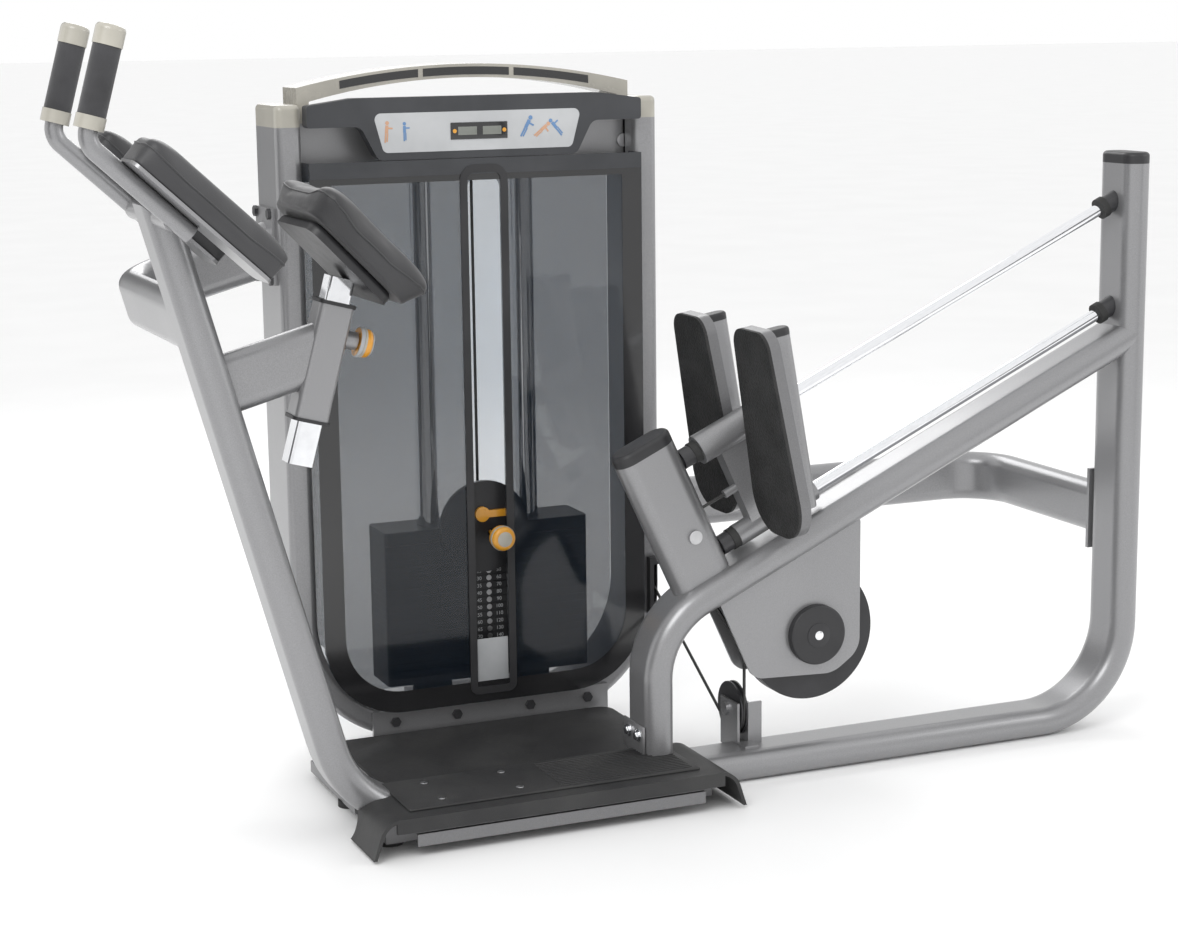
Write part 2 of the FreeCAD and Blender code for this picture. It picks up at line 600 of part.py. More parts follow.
def arm_pad_block(side, plate_only):
    """A forearm pad, or the steel plate under it."""
    length, width = size("arm_pad_length"), size("arm_pad_width")
    plate = size("arm_plate_thick")
    tube_low = Vector(size("handle_low_x"), side * size("arm_pad_spread"), size("handle_low_z"))
    start = tube_low - ARM_DOWN * size("arm_pad_along") + ARM_OUT * size("handle_radius")
    low = start - ARM_DOWN * (length / 2)
    across = Y_AXIS * (width / 2)
    margin = 6.0 if plate_only else 0.0
    near = [low - across + Y_AXIS * margin + ARM_DOWN * margin,
            low + ARM_DOWN * (length - margin) - across + Y_AXIS * margin,
            low + ARM_DOWN * (length - margin) + across - Y_AXIS * margin,
            low + across - Y_AXIS * margin + ARM_DOWN * margin]
    if plate_only:
        return prism(rounded_outline(near, [18.0]), ARM_OUT * plate)
    label = "arm_pad_left" if side < 0 else "arm_pad_right"
    middle = start + ARM_OUT * (plate + size("soft_gap"))
    body, _ = padded(label, rectangle(length / 2, width / 2), [22.0], middle, ARM_DOWN, ARM_OUT,
                     "Sizes.arm_pad_thick")
    return finish(body, label)


def make_grips():
    """Soft grips between a collar and an end cap on each handle."""
    grips, collars = [], []
    for side in (-1, 1):
        base = grip_base(side)
        low = base + GRIP_UP * size("collar_length")
        high = low + GRIP_UP * size("grip_length")
        top = high + GRIP_UP * size("grip_cap_length")
        tube = size("handle_radius")
        collars.append(ring(base, low, size("grip_radius") + 1.5, tube))
        grips.append(ring(low, high, size("grip_radius"), tube))
        tube_end = base + GRIP_UP * (size("grip_length") + 2 * size("collar_length"))
        cap = rod(high, top + GRIP_UP * 12.0, size("grip_radius") + 1.5).cut(rod(high, tube_end, tube))
        collars.append(soften_top(cap, GRIP_UP, top + GRIP_UP * 12.0, 9.0))
    group("hand_grips", grips)
    group("grip_collars", collars)
    arm_pad_block(-1, False)
    arm_pad_block(1, False)


# ---------------------------------------------------------------- chest support
CHEST_UP = Vector(math.sin(LEAN), 0, math.cos(LEAN))
CHEST_SIDE = Vector(math.cos(LEAN), 0, -math.sin(LEAN))
CHEST_AXIS = Vector(size("chest_axis_x"), 0, size("chest_axis_z"))


def square_bar(centre, low, high, side, radius, axis=None):
    """A rounded square bar along the chest post's axis, between two distances from a centre."""
    axis = CHEST_UP if axis is None else axis
    half = side / 2.0
    base = centre + axis * low
    corners = [base + CHEST_SIDE * (half * a) + Y_AXIS * (half * b)
               for a, b in ((-1, -1), (1, -1), (1, 1), (-1, 1))]
    return prism(rounded_outline(corners, [radius]), axis * (high - low))


def make_chest_support():
    """Arm and sleeve on the user upright, the sliding post with its pad, and the locking knob."""
    half = size("sleeve_length") / 2.0
    outer = square_bar(CHEST_AXIS, -half, half, size("sleeve_side"), 12.0)
    inner = square_bar(CHEST_AXIS, -half, half, size("sleeve_side") - 2 * size("sleeve_wall"), 8.0)
    thread = size("knob_radius") * 0.44
    boss_z = CHEST_AXIS + CHEST_UP * 46.0
    boss = rod(boss_z + CHEST_SIDE * (size("sleeve_side") / 2 - 2), boss_z + CHEST_SIDE * 54.0, thread + 5.0)
    plunger_hole = rod(boss_z, boss_z + CHEST_SIDE * 80.0, thread)
    shaped("chest_sleeve", outer.fuse(boss).cut(inner).cut(plunger_hole))
    bush_in = size("post_side") + 2 * size("bore_clearance") + 0.3
    bushes = []
    for sign in (-1, 1):
        low, high = sorted((sign * half, sign * (half + size("bush_height"))))
        flange = square_bar(CHEST_AXIS, low, high, size("bush_side"), 14.0)
        low_in, high_in = sorted((sign * (half - 20.0), sign * half))
        liner = square_bar(CHEST_AXIS, low_in, high_in, size("sleeve_side") - 2 * size("sleeve_wall"), 8.0)
        hole = square_bar(CHEST_AXIS, -half - 40, half + 40, bush_in, 7.0)
        bushes.append(flange.fuse(liner).cut(hole).removeSplitter())
    group("sleeve_bushes", bushes)
    arm_z = size("chest_arm_z")
    start = Vector(USER_FOOT.x - (arm_z - RAIL_Z) * math.tan(LEAN), 0, arm_z)
    reach = Vector(math.cos(LEAN), 0, math.sin(LEAN)) * 400.0
    arm = oval_tube([start, start + reach], [], LEAN_UP, None, size("chest_arm_wide"),
                    size("chest_arm_high"))
    user = oval_bar([USER_FOOT, USER_TOP], [], size("tube_thick"), size("tube_wide"), Y_AXIS)
    beyond = square_bar(CHEST_AXIS, -400, 400, size("sleeve_side"), 12.0)
    far_side = Part.makeBox(600, 400, 900)
    far_side.Placement = Placement(CHEST_AXIS - CHEST_UP * 450 - Y_AXIS * 200,
                                   Rotation(CHEST_SIDE, Y_AXIS, CHEST_UP, "XYZ"))
    arm = arm.cut(user).cut(beyond).cut(far_side)
    shaped("chest_arm", max(arm.Solids, key=lambda solid: solid.Volume))
    low = -half - 82.0
    post = square_bar(CHEST_AXIS, low, low + size("chest_post_length"), size("post_side"), 7.0)
    bore = square_bar(CHEST_AXIS, low, low + size("chest_post_length"), size("post_side") - 6.0, 4.0)
    post = post.cut(bore)
    for step in range(-4, 5):
        spot = boss_z + CHEST_UP * (step * 30.0)
        post = post.cut(rod(spot, spot + CHEST_SIDE * 60.0, 6.0))
    top = CHEST_AXIS + CHEST_UP * (low + size("chest_post_length"))
    pad_slope = math.radians(size("chest_pad_slope"))
    down = Vector(math.cos(pad_slope), 0, -math.sin(pad_slope))
    out = Vector(math.sin(pad_slope), 0, math.cos(pad_slope))
    shell_centre = top + out * 6.0 - down * size("chest_pad_up")
    clear = Part.makeBox(600, 600, 300)
    clear.Placement = Placement(shell_centre - down * 300 - Y_AXIS * 300,
                                Rotation(down, Y_AXIS, out, "XYZ"))
    shaped("chest_post", post.cut(clear))
    pad_slab("chest_pad_shell", shell_centre, down, out, size("shell_margin"), "Sizes.chest_shell_thick",
             10.0, 26.0)
    pad_base = shell_centre + out * (size("chest_shell_thick") + size("soft_gap"))
    pad_slab("chest_pad", pad_base, down, out, 0.0, "Sizes.chest_pad_thick", 18.0, 44.0)
    make_knob(boss_z, thread)


def pad_slab(label, centre, down, out, margin, thickness, edge, corner):
    """A rounded rectangular slab for the chest pad or its shell, its outer edge softened."""
    points = rectangle(size("chest_pad_length") / 2 - margin, size("chest_pad_width") / 2 - margin)
    body, pad = padded(label, points, [corner], centre, down, out, thickness)
    DOCUMENT.recompute()
    high = pad.Shape.BoundBox.ZMax
    rounding = body.newObject("PartDesign::Fillet", label + "_edge")
    names = ["Edge%d" % (index + 1) for index, rim in enumerate(pad.Shape.Edges)
             if all(abs(vertex.Point.z - high) < 0.05 for vertex in rim.Vertexes)]
    rounding.Base = (pad, names)
    rounding.Radius = edge
    body.Tip = rounding
    return finish(body, label)


def make_knob(centre, thread):
    """Spring plunger with its round pull knob."""
    nose = centre + CHEST_SIDE * (size("post_side") / 2 + 1.0)
    neck = centre + CHEST_SIDE * 55.5
    stem = rod(nose, neck + CHEST_SIDE * 6.0, thread - 0.1)
    head = rod(neck, neck + CHEST_SIDE * 24.0, size("knob_radius"))
    head = soften_top(head, CHEST_SIDE, neck + CHEST_SIDE * 24.0, 7.0)
    shaped("pull_knob", stem.fuse(head).removeSplitter())


make_floor_parts()
make_front_platform()
make_rear_platform()
make_braces()
make_handles()
make_grips()
make_chest_support()


# ---------------------------------------------------------------- slide rods and carriage
ROD_START = size("post_thick") / 2.0
HOUSING_START = ROD_START + size("rod_boss") + size("bumper_length") + size("slide_gap")


def stack_cushions():
    """Rubber rings round the guide rods that the weight plates rest on."""
    low = size("beam_gap") + size("beam_height")
    cushions = []
    for side in (-1, 1):
        guide_x = STACK_X + side * size("guide_spread")
        cushions.append(ring(Vector(guide_x, TOWER_MIDDLE_Y, low),
                             Vector(guide_x, TOWER_MIDDLE_Y, size("stack_floor")), 40.0, size("guide_radius")))
    return cushions


def make_slide_rods():
    """Two chromed rods between post and rear upright, with bosses, rubber bumpers and end nuts."""
    rods, fittings, bumpers = [], [], []
    radius = size("rod_radius")
    for above in (size("rod_low"), size("rod_high")):
        end = ROD_END + above * math.tan(TILT)
        rods.append(rod(on_slide(ROD_START, above), on_slide(end, above), radius).cut(REAR_BODY))
        boss = ring(on_slide(ROD_START, above), on_slide(ROD_START + size("rod_boss"), above),
                    radius + 7.0, radius)
        fittings.append(boss)
        after = ROD_START + size("rod_boss")
        bumpers.append(ring(on_slide(after, above), on_slide(after + size("bumper_length"), above),
                            size("bumper_radius"), radius))
        face = end - (radius + 9.0) * math.tan(TILT) - 12.0
        fittings.append(ring(on_slide(face, above), on_slide(end + 30.0, above), radius + 7.0, radius)
                        .cut(REAR_BODY))
        bumpers.append(ring(on_slide(face - size("bumper_length"), above), on_slide(face, above),
                            size("bumper_radius"), radius))
        nut_z = on_slide(end, above).z + size("tube_thick") * math.tan(TILT)
        outside = REAR_X + size("tube_thick") / 2.0
        fittings.append(hexagon(Vector(outside, 0, nut_z), X_AXIS, 30.0, 13.0))
    rods = [max(bar.Solids, key=lambda solid: solid.Volume) for bar in rods]
    fittings = [max(piece.Solids, key=lambda solid: solid.Volume) for piece in fittings]
    group("slide_rods", rods)
    group("rod_fittings", fittings)
    group("rubber_bumpers", bumpers + stack_cushions())


def hexagon(centre, direction, across_flats, height):
    """A hexagon head or nut."""
    reach = across_flats / math.sqrt(3.0)
    turn = turn_z_to(direction)
    corners = [centre + turn.multVec(Vector(reach * math.cos(math.pi / 3 * step),
                                            reach * math.sin(math.pi / 3 * step), 0)) for step in range(7)]
    return prism(Part.makePolygon(corners), direction * height)


FOOT_TILT = math.radians(size("foot_tilt"))
FOOT_UP = Vector(-math.sin(FOOT_TILT), 0, math.cos(FOOT_TILT))
FOOT_BACK = Vector(math.cos(FOOT_TILT), 0, math.sin(FOOT_TILT))
FOOT_MIDDLE = Vector(size("foot_x"), 0, size("foot_z"))


def foot_outline(side, back):
    """Outline of a foot plate: straight sides that widen downwards, large corner arcs."""
    half = size("foot_length") / 2.0
    top, low = size("foot_top_width") / 2.0, size("foot_low_width") / 2.0
    middle = FOOT_MIDDLE + FOOT_BACK * back + Y_AXIS * (side * size("foot_spacing"))
    corners = [middle - FOOT_UP * half - Y_AXIS * low, middle - FOOT_UP * half + Y_AXIS * low,
               middle + FOOT_UP * half + Y_AXIS * top, middle + FOOT_UP * half - Y_AXIS * top]
    return rounded_outline(corners, [70.0, 70.0, 36.0, 36.0])


def make_carriage():
    """Bearing housings, web, cross tube and back posts in one weldment, and the foot plates on it."""
    start, end = HOUSING_START, HOUSING_START + size("housing_length")
    bore = size("rod_radius") + size("bore_clearance")
    low_tube = rod(on_slide(start, size("rod_low")), on_slide(end, size("rod_low")), size("low_housing_radius"))
    high_tube = rod(on_slide(start, size("rod_high")), on_slide(end, size("rod_high")),
                    size("high_housing_radius"))
    web_start = start + (size("housing_length") - size("web_length")) / 2.0
    web = Part.makeBox(size("web_length"), size("web_width"), size("rod_high") - size("rod_low"))
    web.Placement = Placement(on_slide(web_start, size("rod_low"), -size("web_width") / 2.0),
                              Rotation(ALONG, Y_AXIS, ABOVE, "XYZ"))
    cross_centre = FOOT_MIDDLE + FOOT_BACK * (size("foot_plate_thick") + size("back_post_wide") / 2.0)
    cross_centre = cross_centre - FOOT_UP * 40.0
    reach = Y_AXIS * size("foot_spacing")
    cross = rod(cross_centre - reach, cross_centre + reach, size("cross_tube_radius"))
    pieces = [low_tube, high_tube, cross]
    caps = []
    for side in (-1, 1):
        middle = FOOT_MIDDLE + Y_AXIS * (side * size("foot_spacing"))
        middle = middle + FOOT_BACK * (size("foot_plate_thick") + size("back_post_wide") / 2.0)
        low = middle - FOOT_UP * (size("back_post_length") / 2 - 10.0)
        high = middle + FOOT_UP * (size("back_post_length") / 2 + 8.0)
        pieces.append(oval_bar([low, high], [], size("back_post_thick"), size("back_post_wide"), FOOT_BACK))
        cap = oval_bar([high, high + FOOT_UP * 14.0], [], size("back_post_thick"), size("back_post_wide"),
                       FOOT_BACK)
        caps.append(soften_top(cap, FOOT_UP, high + FOOT_UP * 14.0, 6.0))
    frame = web.fuse(pieces).removeSplitter()
    for above in (size("rod_low"), size("rod_high")):
        frame = frame.cut(rod(on_slide(start - 5, above), on_slide(end + 5, above), bore))
    anchor = PULL_LINE + ALONG * (web_start - size("post_pulley_along"))
    lug = rod(anchor - ALONG * 26.0, anchor + ALONG * 4.0, 8.0)
    frame = frame.fuse(lug).removeSplitter()
    plates, pads = [], []
    for side in (-1, 1):
        plates.append(prism(foot_outline(side, 0.0), FOOT_BACK * size("foot_plate_thick")))
        pads.append(prism(foot_outline(side, -size("foot_pad_thick")), FOOT_BACK * size("foot_pad_thick")))
    shaped("carriage_frame", frame.cut(plates + pads))
    group("foot_plates", plates)
    group("foot_pads", pads)
    group("back_post_caps", caps)
    finish(round_bar(PULL_LINE, anchor - ALONG * 26.0, "cable_radius"), "carriage_cable")


# ---------------------------------------------------------------- cable drive
def wheel_section(groove_radii, lip, width, bore):
    """Half the section of a wheel with cable grooves side by side across its width."""
    half, rim = width / 2.0, max(groove_radii) + lip
    slot = size("cable_radius") + 0.4
    step = width / len(groove_radii)
    edges, last = [], Vector(rim, -half, 0)
    edges.append(Part.LineSegment(Vector(bore, -half, 0), last).toShape())
    for index, radius in enumerate(groove_radii):
        middle = -half + step * (index + 0.5)
        top, bottom = Vector(rim, middle - slot, 0), Vector(radius, middle - slot, 0)
        edges.append(Part.LineSegment(last, top).toShape())
        edges.append(Part.LineSegment(top, bottom).toShape())
        rise, last = Vector(radius, middle + slot, 0), Vector(rim, middle + slot, 0)
        edges.append(Part.Arc(bottom, Vector(radius - slot, middle, 0), rise).toShape())
        edges.append(Part.LineSegment(rise, last).toShape())
    corner, inner = Vector(rim, half, 0), Vector(bore, half, 0)
    edges.append(Part.LineSegment(last, corner).toShape())
    edges.append(Part.LineSegment(corner, inner).toShape())
    edges.append(Part.LineSegment(inner, Vector(bore, -half, 0)).toShape())
    return edges


def pulley(label, centre, axis, groove):
    """A small cable pulley that turns on an axle bolt."""
    bore = size("axle_radius") + size("bore_clearance")
    turned(label, centre, axis, wheel_section([groove], size("pulley_lip"), size("pulley_width"), bore))


def axle(centre, axis, half, head):
    """An axle bolt with a head at each end."""
    bolt = rod(centre - axis * half, centre + axis * half, size("axle_radius"))
    heads = [rod(centre + axis * (half * sign), centre + axis * ((half + head) * sign), 13.0)
             for sign in (-1, 1)]
    return bolt.fuse(heads).removeSplitter()


BASE_PULLEY = Vector(CABLE_X, size("groove_offset") + size("base_pulley_groove"), size("base_pulley_z"))
COLUMN_PULLEY = Vector(CABLE_X, TOWER_MIDDLE_Y - size("column_pulley_groove"), size("column_pulley_z"))
TOP_RIGHT_PULLEY = Vector(CABLE_X - size("top_pulley_groove"), TOWER_MIDDLE_Y, size("top_pulley_z"))
TOP_LEFT_PULLEY = Vector(STACK_X + size("top_pulley_groove"), TOWER_MIDDLE_Y, size("top_pulley_z"))


def make_drive():
    """Cam wheel between its side plates, the guide pulleys, their axles and the cable run."""
    bore = size("axle_radius") + size("bore_clearance")
    section = wheel_section([size("cam_groove")] * 2, size("cam_rim") - size("cam_groove"),
                            size("cam_width"), bore)
    turned("cam_wheel", CAM_CENTRE, Y_AXIS, section)
    pulley("post_pulley", POST_PULLEY, Y_AXIS, size("post_pulley_groove"))
    pulley("base_pulley", BASE_PULLEY, X_AXIS, size("base_pulley_groove"))
    pulley("column_pulley", COLUMN_PULLEY, X_AXIS, size("column_pulley_groove"))
    pulley("top_pulley_right", TOP_RIGHT_PULLEY, Y_AXIS, size("top_pulley_groove"))
    pulley("top_pulley_left", TOP_LEFT_PULLEY, Y_AXIS, size("top_pulley_groove"))
    make_side_plates()
    gap = size("cam_plate_gap") / 2.0 + size("cam_plate_thick")
    axles = [axle(CAM_CENTRE, Y_AXIS, gap, 7.0),
             axle(Vector(POST_PULLEY.x, 0, POST_PULLEY.z), Y_AXIS, size("post_wide") / 2.0, 6.0),
             axle(BASE_PULLEY, X_AXIS, size("pulley_width") / 2 + 2.0 + size("bracket_thick"), 6.0),
             axle(column_axle_middle(), X_AXIS, size("column_width") / 2, 5.0),
             axle(TOP_RIGHT_PULLEY, Y_AXIS, 22.0, 5.0), axle(TOP_LEFT_PULLEY, Y_AXIS, 22.0, 5.0)]
    group("pulley_axles", axles)
    cover = CAM_CENTRE - Y_AXIS * (gap + 7.0)
    disc = rod(cover, cover - Y_AXIS * size("hub_cover_thick"), size("hub_cover_radius"))
    disc = soften_top(disc, Y_AXIS * -1, cover - Y_AXIS * size("hub_cover_thick"), 4.0)
    skirt = ring(cover, cover + Y_AXIS * 7.0, size("hub_cover_radius"), size("hub_cover_radius") - 4.0)
    guard = block(CABLE_X - 18.0, CABLE_X + 8.0, size("tower_front") - 16.0, size("tower_front"), 225.0, 345.0)
    guard = guard.cut(block(CABLE_X - 9.0, CABLE_X + 9.0, size("tower_front") - 20.0, size("tower_front") + 1.0,
                            220.0, 330.0))
    group("drive_guards", [disc.fuse(skirt).removeSplitter(), guard])
    make_pulley_bracket()
    make_cables()


def column_axle_middle():
    """The middle of the right column's width, level with the column pulley."""
    return Vector(TOWER_RIGHT - size("column_width") / 2.0, COLUMN_PULLEY.y, COLUMN_PULLEY.z)


def make_side_plates():
    """Two folded steel plates that hang the cam wheel under the incline tube."""
    low = CAM_CENTRE.z - 82.0
    left = CAM_CENTRE.x - 211.0
    right = CAM_CENTRE.x + 97.0
    slope = math.tan(TILT)

    def on_tube(x_place):
        return POST_FOOT.z + (x_place - POST_FOOT.x) * slope

    outline = [(left, on_tube(left)), (CAM_CENTRE.x - 132.0, low + 8.0), (CAM_CENTRE.x + 40.0, low),
               (right, low + 40.0), (right, on_tube(right) - 30.0), (right - 20.0, on_tube(right - 20.0))]
    plates = []
    for side in (-1, 1):
        inner = side * size("cam_plate_gap") / 2.0
        corners = side_view(outline, inner)
        radii = [1.0, 34.0, 60.0, 50.0, 12.0, 1.0]
        plate = prism(rounded_outline(corners, radii), Y_AXIS * (side * size("cam_plate_thick")))
        plate = plate.cut(INCLINE_BODY)
        plate = max(plate.Solids, key=lambda solid: solid.Volume)
        plates.append(plate.cut(rod(CAM_CENTRE - Y_AXIS * 80, CAM_CENTRE + Y_AXIS * 80, size("axle_radius"))))
    group("cam_side_plates", plates)


def make_pulley_bracket():
    """Fork on the base rail that holds the lower pulley."""
    cheek = size("bracket_thick")
    clear = size("pulley_width") / 2.0 + 2.0
    foot_z = size("tube_thick")
    top = BASE_PULLEY.z + 20.0
    low = 42.0
    pieces = []
    for side in (-1, 1):
        inner = CABLE_X + side * clear
        outer = inner + side * cheek
        pieces.append(block(min(inner, outer), max(inner, outer), 10.0, BASE_PULLEY.y + 26.0, low, top))
    fork = block(CABLE_X - clear - cheek, CABLE_X + clear + cheek, -24.0, 10.0, foot_z, foot_z + cheek)
    floor = block(CABLE_X - clear - cheek, CABLE_X + clear + cheek, 57.5, BASE_PULLEY.y + 26.0, low, low + cheek)
    flange = block(CABLE_X + clear + cheek, CABLE_X + clear + cheek + 24.0, 10.0, 10.0 + cheek, foot_z, top)
    bracket = pieces[0].fuse([pieces[1], fork, floor, flange]).removeSplitter()
    bracket = bracket.cut(oval_bar([Vector(RAIL_START_X, 0, RAIL_Z), Vector(RAIL_END_X, 0, RAIL_Z)], [],
                                   size("tube_thick"), size("tube_wide"), Y_AXIS))
    bore = rod(BASE_PULLEY - X_AXIS * 40, BASE_PULLEY + X_AXIS * 40, size("axle_radius"))
    shaped("pulley_bracket", bracket.cut(bore))


def arc_of(centre, radius, start, end, axis):
    """An arc round a wheel from one tangent point to another, turning about an axis."""
    first = (start - centre).normalize()
    last = (end - centre).normalize()
    angle = math.atan2(first.cross(last).dot(axis), first.dot(last))
    angle = angle + 2 * math.pi if angle < 0 else angle
    half = Rotation(axis, math.degrees(angle / 2)).multVec(first)
    return Part.Arc(start, centre + half * radius, end).toShape()


def cable_solid(edges):
    """A round cable along connected edges."""
    wire = Part.Wire(edges)
    start = wire.OrderedVertexes[0].Point
    direction = wire.OrderedEdges[0].tangentAt(wire.OrderedEdges[0].FirstParameter)
    if (wire.OrderedEdges[0].valueAt(wire.OrderedEdges[0].FirstParameter) - start).Length > 0.01:
        direction = wire.OrderedEdges[0].tangentAt(wire.OrderedEdges[0].LastParameter) * -1
    circle = Part.Wire(Part.makeCircle(size("cable_radius"), start, direction))
    solid = swept(wire, circle)
    expected = math.pi * size("cable_radius") ** 2 * wire.Length
    print("cable volume", round(solid.Volume), "expected", round(expected))
    return solid


def make_cables():
    """Pull cable round the post pulley to the cam wheel, and lift cable from cam wheel to tower."""
    pulley_arc = arc_of(POST_PULLEY, size("post_pulley_groove"), PULL_LINE, PULL_TOP, Y_AXIS * -1)
    cam_arc_end = CAM_FRONT - Z_AXIS * size("cam_groove")
    edges = [pulley_arc, Part.LineSegment(PULL_TOP, PULL_LOW).toShape(),
             arc_of(CAM_FRONT, size("cam_groove"), PULL_LOW, cam_arc_end, Y_AXIS * -1)]
    pull = cable_solid(edges)
    cam_back = CAM_CENTRE + Vector(0, size("groove_offset"), 0)
    cam_left = cam_back - X_AXIS * size("cam_groove")
    cam_top = cam_back + Vector(-math.sin(0.6), 0, math.cos(0.6)) * size("cam_groove")
    base_front = BASE_PULLEY - Y_AXIS * size("base_pulley_groove")
    leave, arrive = lower_tangent(BASE_PULLEY, size("base_pulley_groove"), COLUMN_PULLEY,
                                  size("column_pulley_groove"))
    column_side = COLUMN_PULLEY + Y_AXIS * size("column_pulley_groove")
    right_side = TOP_RIGHT_PULLEY + X_AXIS * size("top_pulley_groove")
    right_top = TOP_RIGHT_PULLEY + Z_AXIS * size("top_pulley_groove")
    left_top = TOP_LEFT_PULLEY + Z_AXIS * size("top_pulley_groove")
    left_side = TOP_LEFT_PULLEY - X_AXIS * size("top_pulley_groove")
    edges = [arc_of(cam_back, size("cam_groove"), cam_top, cam_left, Y_AXIS * -1),
             Part.LineSegment(cam_left, base_front).toShape(),
             arc_of(BASE_PULLEY, size("base_pulley_groove"), base_front, leave, X_AXIS),
             Part.LineSegment(leave, arrive).toShape(),
             arc_of(COLUMN_PULLEY, size("column_pulley_groove"), arrive, column_side, X_AXIS),
             Part.LineSegment(column_side, right_side).toShape(),
             arc_of(TOP_RIGHT_PULLEY, size("top_pulley_groove"), right_side, right_top, Y_AXIS * -1),
             Part.LineSegment(right_top, left_top).toShape(),
             arc_of(TOP_LEFT_PULLEY, size("top_pulley_groove"), left_top, left_side, Y_AXIS * -1)]
    group("drive_cables", [pull, cable_solid(edges)])
    hang = left_side
    finish(round_bar(Vector(hang.x, hang.y, STACK_TOP + 22.0), hang, "cable_radius"), "stack_cable")


def lower_tangent(first, first_radius, second, second_radius):
    """Ends of the outer tangent under two wheels that share a plane across X."""
    span = second - first
    distance = span.Length
    forward = span * (1.0 / distance)
    normal = Vector(0, forward.z, -forward.y)
    rise = (first_radius - second_radius) / distance
    offset = forward * rise + normal * math.sqrt(1.0 - rise * rise)
    return first + offset * first_radius, second + offset * second_radius


# ---------------------------------------------------------------- weight stack
STACK_LOW = size("stack_floor")
PLATES_TOP = STACK_LOW + size("plate_count") * size("plate_pitch")
STACK_TOP = PLATES_TOP + size("stack_gap") + size("top_plate_thick")


def weight_plate(low, thick):
    """One weight plate with holes for the guide rods, the selector rod and the pin."""
    half = size("stack_width") / 2.0
    front = TOWER_MIDDLE_Y - size("stack_depth") / 2.0
    rear = TOWER_MIDDLE_Y + size("stack_depth") / 2.0
    corners = [Vector(STACK_X - half, front, low), Vector(STACK_X + half, front, low),
               Vector(STACK_X + half, rear, low), Vector(STACK_X - half, rear, low)]
    plate = prism(rounded_outline(corners, [8.0]), Z_AXIS * thick)
    for side in (-1, 1):
        hole = Vector(STACK_X + side * size("guide_spread"), TOWER_MIDDLE_Y, low - 1)
        plate = plate.cut(rod(hole, hole + Z_AXIS * (thick + 2), size("guide_radius") + size("guide_clearance")))
    hole = Vector(STACK_X, TOWER_MIDDLE_Y, low - 1)
    plate = plate.cut(rod(hole, hole + Z_AXIS * (thick + 2), size("selector_hole")))
    pin = Vector(STACK_X, front - 1, low + thick / 2)
    return plate.cut(rod(pin, pin + Y_AXIS * (size("stack_depth") / 2), size("pin_radius") + 0.5))


def make_stack():
    """Resting plates, the picked-up plate, the top plate with its selector rod, pin and dial."""
    thick, pitch = size("plate_thick"), size("plate_pitch")
    resting = [weight_plate(STACK_LOW + index * pitch, thick) for index in range(int(size("plate_count")))]
    group("resting_plates", resting)
    top_low = PLATES_TOP + size("stack_gap")
    top = weight_plate(top_low, size("top_plate_thick"))
    selector = rod(Vector(STACK_X, TOWER_MIDDLE_Y, STACK_LOW + 12.0),
                   Vector(STACK_X, TOWER_MIDDLE_Y, STACK_TOP + 22.0), size("selector_radius"))
    pin_z = top_low + size("top_plate_thick") / 2.0
    levels = [STACK_LOW + index * pitch + thick / 2 for index in range(int(size("plate_count")))] + [pin_z]
    for level in levels:
        spot = Vector(STACK_X, TOWER_MIDDLE_Y - 12.0, level)
        selector = selector.cut(rod(spot, spot + Y_AXIS * 24.0, size("pin_radius") + 0.5))
    front = TOWER_MIDDLE_Y - size("stack_depth") / 2.0
    disc_back = front - size("disc_gap")
    disc_centre = Vector(size("slot_x"), disc_back, pin_z + 14.0)
    disc = rod(disc_centre, disc_centre - Y_AXIS * size("disc_thick"), size("disc_radius"))
    pin_way = Vector(STACK_X, front + 1.0, pin_z)
    disc = disc.cut(rod(pin_way, pin_way - Y_AXIS * 60.0, size("pin_radius") + 4.0))
    stand_offs = []
    for side in (-1, 1):
        foot = Vector(size("slot_x") + side * 60.0, front, pin_z)
        stand_offs.append(rod(foot, Vector(foot.x, disc_back, pin_z), 9.0))
    shaped("add_on_disc", disc.fuse(stand_offs).removeSplitter())
    group("stack_top_plate", [top.fuse(selector_flange()).removeSplitter(), selector])
    knob_back = Vector(STACK_X, size("tower_front") - size("shroud_forward") - 16.0, pin_z)
    stem = rod(knob_back, Vector(STACK_X, TOWER_MIDDLE_Y + 6.0, pin_z), size("pin_radius"))
    knob_front = knob_back - Y_AXIS * 24.0
    knob = soften_top(rod(knob_back, knob_front, 24.0), Y_AXIS * -1, knob_front, 8.0)
    shaped("selector_pin", stem.fuse(knob).removeSplitter())
    hub = disc_centre + Vector(-6.0, -size("disc_thick") - 0.5, 26.0)
    dial = rod(hub, hub - Y_AXIS * 7.0, 15.0)
    handle = block(hub.x, hub.x + 52.0, hub.y - 7.0, hub.y, hub.z - 7.0, hub.z + 7.0)
    shaped("add_on_lever", dial.fuse(handle).removeSplitter())
    guides = []
    for side in (-1, 1):
        guide_x = STACK_X + side * size("guide_spread")
        guides.append(round_bar(Vector(guide_x, TOWER_MIDDLE_Y, size("beam_gap") + size("beam_height")),
                                Vector(guide_x, TOWER_MIDDLE_Y, size("top_pulley_z") - 60.0), "guide_radius"))
    native_group("stack_guide_rods", guides)


def selector_flange():
    """Boss that clamps the selector rod on top of the stack."""
    low = Vector(STACK_X, TOWER_MIDDLE_Y, STACK_TOP)
    return ring(low, low + Z_AXIS * 12.0, 22.0, size("selector_radius"))


